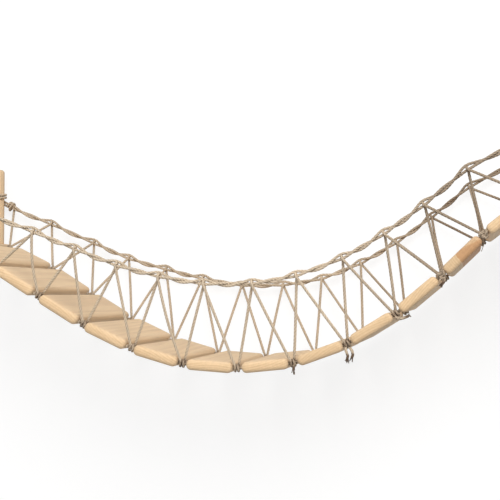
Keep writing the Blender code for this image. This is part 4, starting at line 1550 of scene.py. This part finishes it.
def plated_steel():
    """Zinc plating: dull crystal patches, fine rolling lines and a few scuffs."""
    tree, given = effect_group("Zinc plating", [
        ("Plating", "Color", (0.62, 0.63, 0.64, 1.0)),
        ("Dull", "Color", (0.44, 0.45, 0.47, 1.0)),
    ])
    place = place_node(tree, "TexCoord").outputs["Object"]
    crystals = place_node(tree, "TexVoronoi", {"Vector": place, "Scale": 210.0}).outputs["Color"]
    crystal = place_node(tree, "SeparateXYZ", {0: crystals}).outputs[0]
    mist = cloud(tree, place, 90.0, 4.0, 0.6)
    lines = cloud(tree, stretch(tree, place, (1.0, 0.03, 0.03)), 3200.0, 2.0)
    scuff = remap(tree, cloud(tree, stretch(tree, place, (0.1, 1.0, 0.5)), 260.0, 3.0), 0.62, 0.74)
    dull = calculate(tree, "MULTIPLY_ADD", crystal, 0.35, product(tree, mist, 0.6))
    colour = mix_colours(tree, dull, given["Plating"], given["Dull"])
    rough = 0.30
    for mark, share in ((crystal, 0.10), (lines, 0.12), (scuff, 0.14)):
        rough = calculate(tree, "MULTIPLY_ADD", mark, share, rough)
    put_out(tree, colour, rough, calculate(tree, "MULTIPLY_ADD", lines, 0.5, mist))
    return tree


def finish_material(name, effect, depth, strength, shader_values):
    """A material whose colour, roughness and fine relief come from an effect group."""
    material = bpy.data.materials.new(name)
    material.use_nodes = True
    tree = material.node_tree
    shader = tree.nodes["Principled BSDF"]
    look = tree.nodes.new("ShaderNodeGroup")
    look.node_tree = effect
    look.location = (-600.0, 0.0)
    inputs = {"Strength": strength, "Distance": depth, "Height": look.outputs["Height"]}
    relief = place_node(tree, "Bump", inputs)
    relief.location = (-300.0, -250.0)
    tree.links.new(look.outputs["Colour"], shader.inputs["Base Color"])
    tree.links.new(look.outputs["Roughness"], shader.inputs["Roughness"])
    tree.links.new(relief.outputs[0], shader.inputs["Normal"])
    for label, value in shader_values.items():
        shader.inputs[label].default_value = value
    return material


def make_finishes():
    """The materials of the wood, the cord and the steel. Each relief is its depth and strength."""
    soft_shine = {"Specular IOR Level": 0.35}
    pine = finish_material("Sanded pine", pine_grain(), 0.25 * MM, 0.35, soft_shine)
    fibres = {"Sheen Weight": 0.06, "Specular IOR Level": 0.2}
    cord = finish_material("Net cord", twisted_cord(), 0.7 * MM, 0.8, fibres)
    steel = finish_material("Zinc plated steel", plated_steel(), 0.1 * MM, 0.2, {"Metallic": 1.0})
    return pine, cord, steel


def make_object():
    """The whole bridge, from its finishes to its ropes."""
    pine, cord, steel = make_finishes()
    make_slats(pine)
    make_shelves(pine)
    make_posts(pine)
    make_screws(steel)
    make_brackets(steel)
    make_nets(cord)
    make_hand_ropes(cord)
    make_stopper_knots(cord)
    make_ropes_in_slats(cord)
    make_ropes_in_gaps(cord)


def seen_directly(tree):
    """1 for rays from the camera, and for rays that a mirror or a pane passes on."""
    path = place_node(tree, "LightPath")
    seen = calculate(tree, "MAXIMUM", path.outputs["Is Camera Ray"], path.outputs["Is Glossy Ray"])
    return calculate(tree, "MAXIMUM", seen, path.outputs["Is Transmission Ray"])


def backdrop_material(name, glow, shade, one_sided):
    """A pale surface that takes shadows. Its glow keeps it near white in the picture.

    A one-sided surface is clear from behind and to the light.
    """
    material = bpy.data.materials.new(name)
    material.use_nodes = True
    tree = material.node_tree
    tree.nodes.clear()
    dull = place_node(tree, "BsdfDiffuse", {0: (shade, shade, shade, 1.0)})
    light = place_node(tree, "Emission", {0: WHITE, 1: glow})
    pale = place_node(tree, "AddShader", {0: dull.outputs[0], 1: light.outputs[0]})
    shown = seen_directly(tree)
    unlit = dull
    if one_sided:
        behind = place_node(tree, "NewGeometry").outputs["Backfacing"]
        shown = product(tree, shown, calculate(tree, "SUBTRACT", 1.0, behind))
        unlit = place_node(tree, "BsdfTransparent")
    mix = place_node(tree, "MixShader", {0: shown, 1: unlit.outputs[0], 2: pale.outputs[0]})
    out = tree.nodes.new("ShaderNodeOutputMaterial")
    tree.links.new(mix.outputs[0], out.inputs[0])
    return material


def flat_sheet(name, corners, material):
    """A wall or floor of one face, which is no part of the object."""
    mesh = bpy.data.meshes.new(name)
    mesh.from_pydata(corners, [], [(0, 1, 2, 3)])
    sheet = new_object(name, mesh, material)


def make_room():
    """A pale wall just behind the wall plane, a pale floor below, and an even light all round."""
    half = ROOM_SIZE / 2
    low, high = FLOOR_HEIGHT, FLOOR_HEIGHT + half
    wall = backdrop_material("Pale wall", WALL_GLOW, WALL_SHADE, True)
    outline = [(-half, low), (half, low), (half, high), (-half, high)]
    flat_sheet("wall", [(x, WALL_GAP, z) for x, z in outline], wall)
    floor = backdrop_material("Pale floor", FLOOR_GLOW, FLOOR_SHADE, False)
    outline = [(-half, -half), (half, -half), (half, half), (-half, half)]
    flat_sheet("floor", [(x, y, low) for x, y in outline], floor)
    world = bpy.data.worlds.new("Studio")
    bpy.context.scene.world = world
    world.use_nodes = True
    tree = world.node_tree
    tree.nodes.clear()
    soft = place_node(tree, "Background", {0: WHITE, 1: WORLD_LIGHT}).outputs[0]
    seen = place_node(tree, "Background", {0: WHITE, 1: 1.0}).outputs[0]
    mix = place_node(tree, "MixShader", {0: seen_directly(tree), 1: soft, 2: seen})
    out = tree.nodes.new("ShaderNodeOutputWorld")
    tree.links.new(mix.outputs[0], out.inputs[0])


def make_lights():
    """A large soft lamp in front at the right, and a weaker and cooler one at the left."""
    for name, place, size, watts, colour in LAMPS:
        lamp = bpy.data.lights.new(name, "AREA")
        lamp.shape = "DISK"
        lamp.size = size
        lamp.energy = watts
        lamp.color = colour
        thing = bpy.data.objects.new(name, lamp)
        bpy.context.scene.collection.objects.link(thing)
        thing.location = place
        aim = Vector(LAMP_AIM) - Vector(place)
        thing.rotation_euler = aim.to_track_quat("-Z", "Y").to_euler()


def make_camera():
    """The camera that was fitted to the photograph."""
    data = bpy.data.cameras.new("camera")
    data.sensor_width = SENSOR_MM
    data.sensor_height = SENSOR_MM
    data.lens = SENSOR_MM * CAMERA_FOCAL_PX / IMAGE_PX
    data.clip_start = CAMERA_NEAR
    camera = bpy.data.objects.new("camera", data)
    bpy.context.scene.collection.objects.link(camera)
    camera.location = CAMERA_PLACE
    camera.rotation_euler = [math.radians(angle) for angle in CAMERA_TURN_DEG]
    bpy.context.scene.camera = camera


make_object()
make_room()
make_lights()
make_camera()
bpy.context.scene.view_settings.view_transform = "Standard"
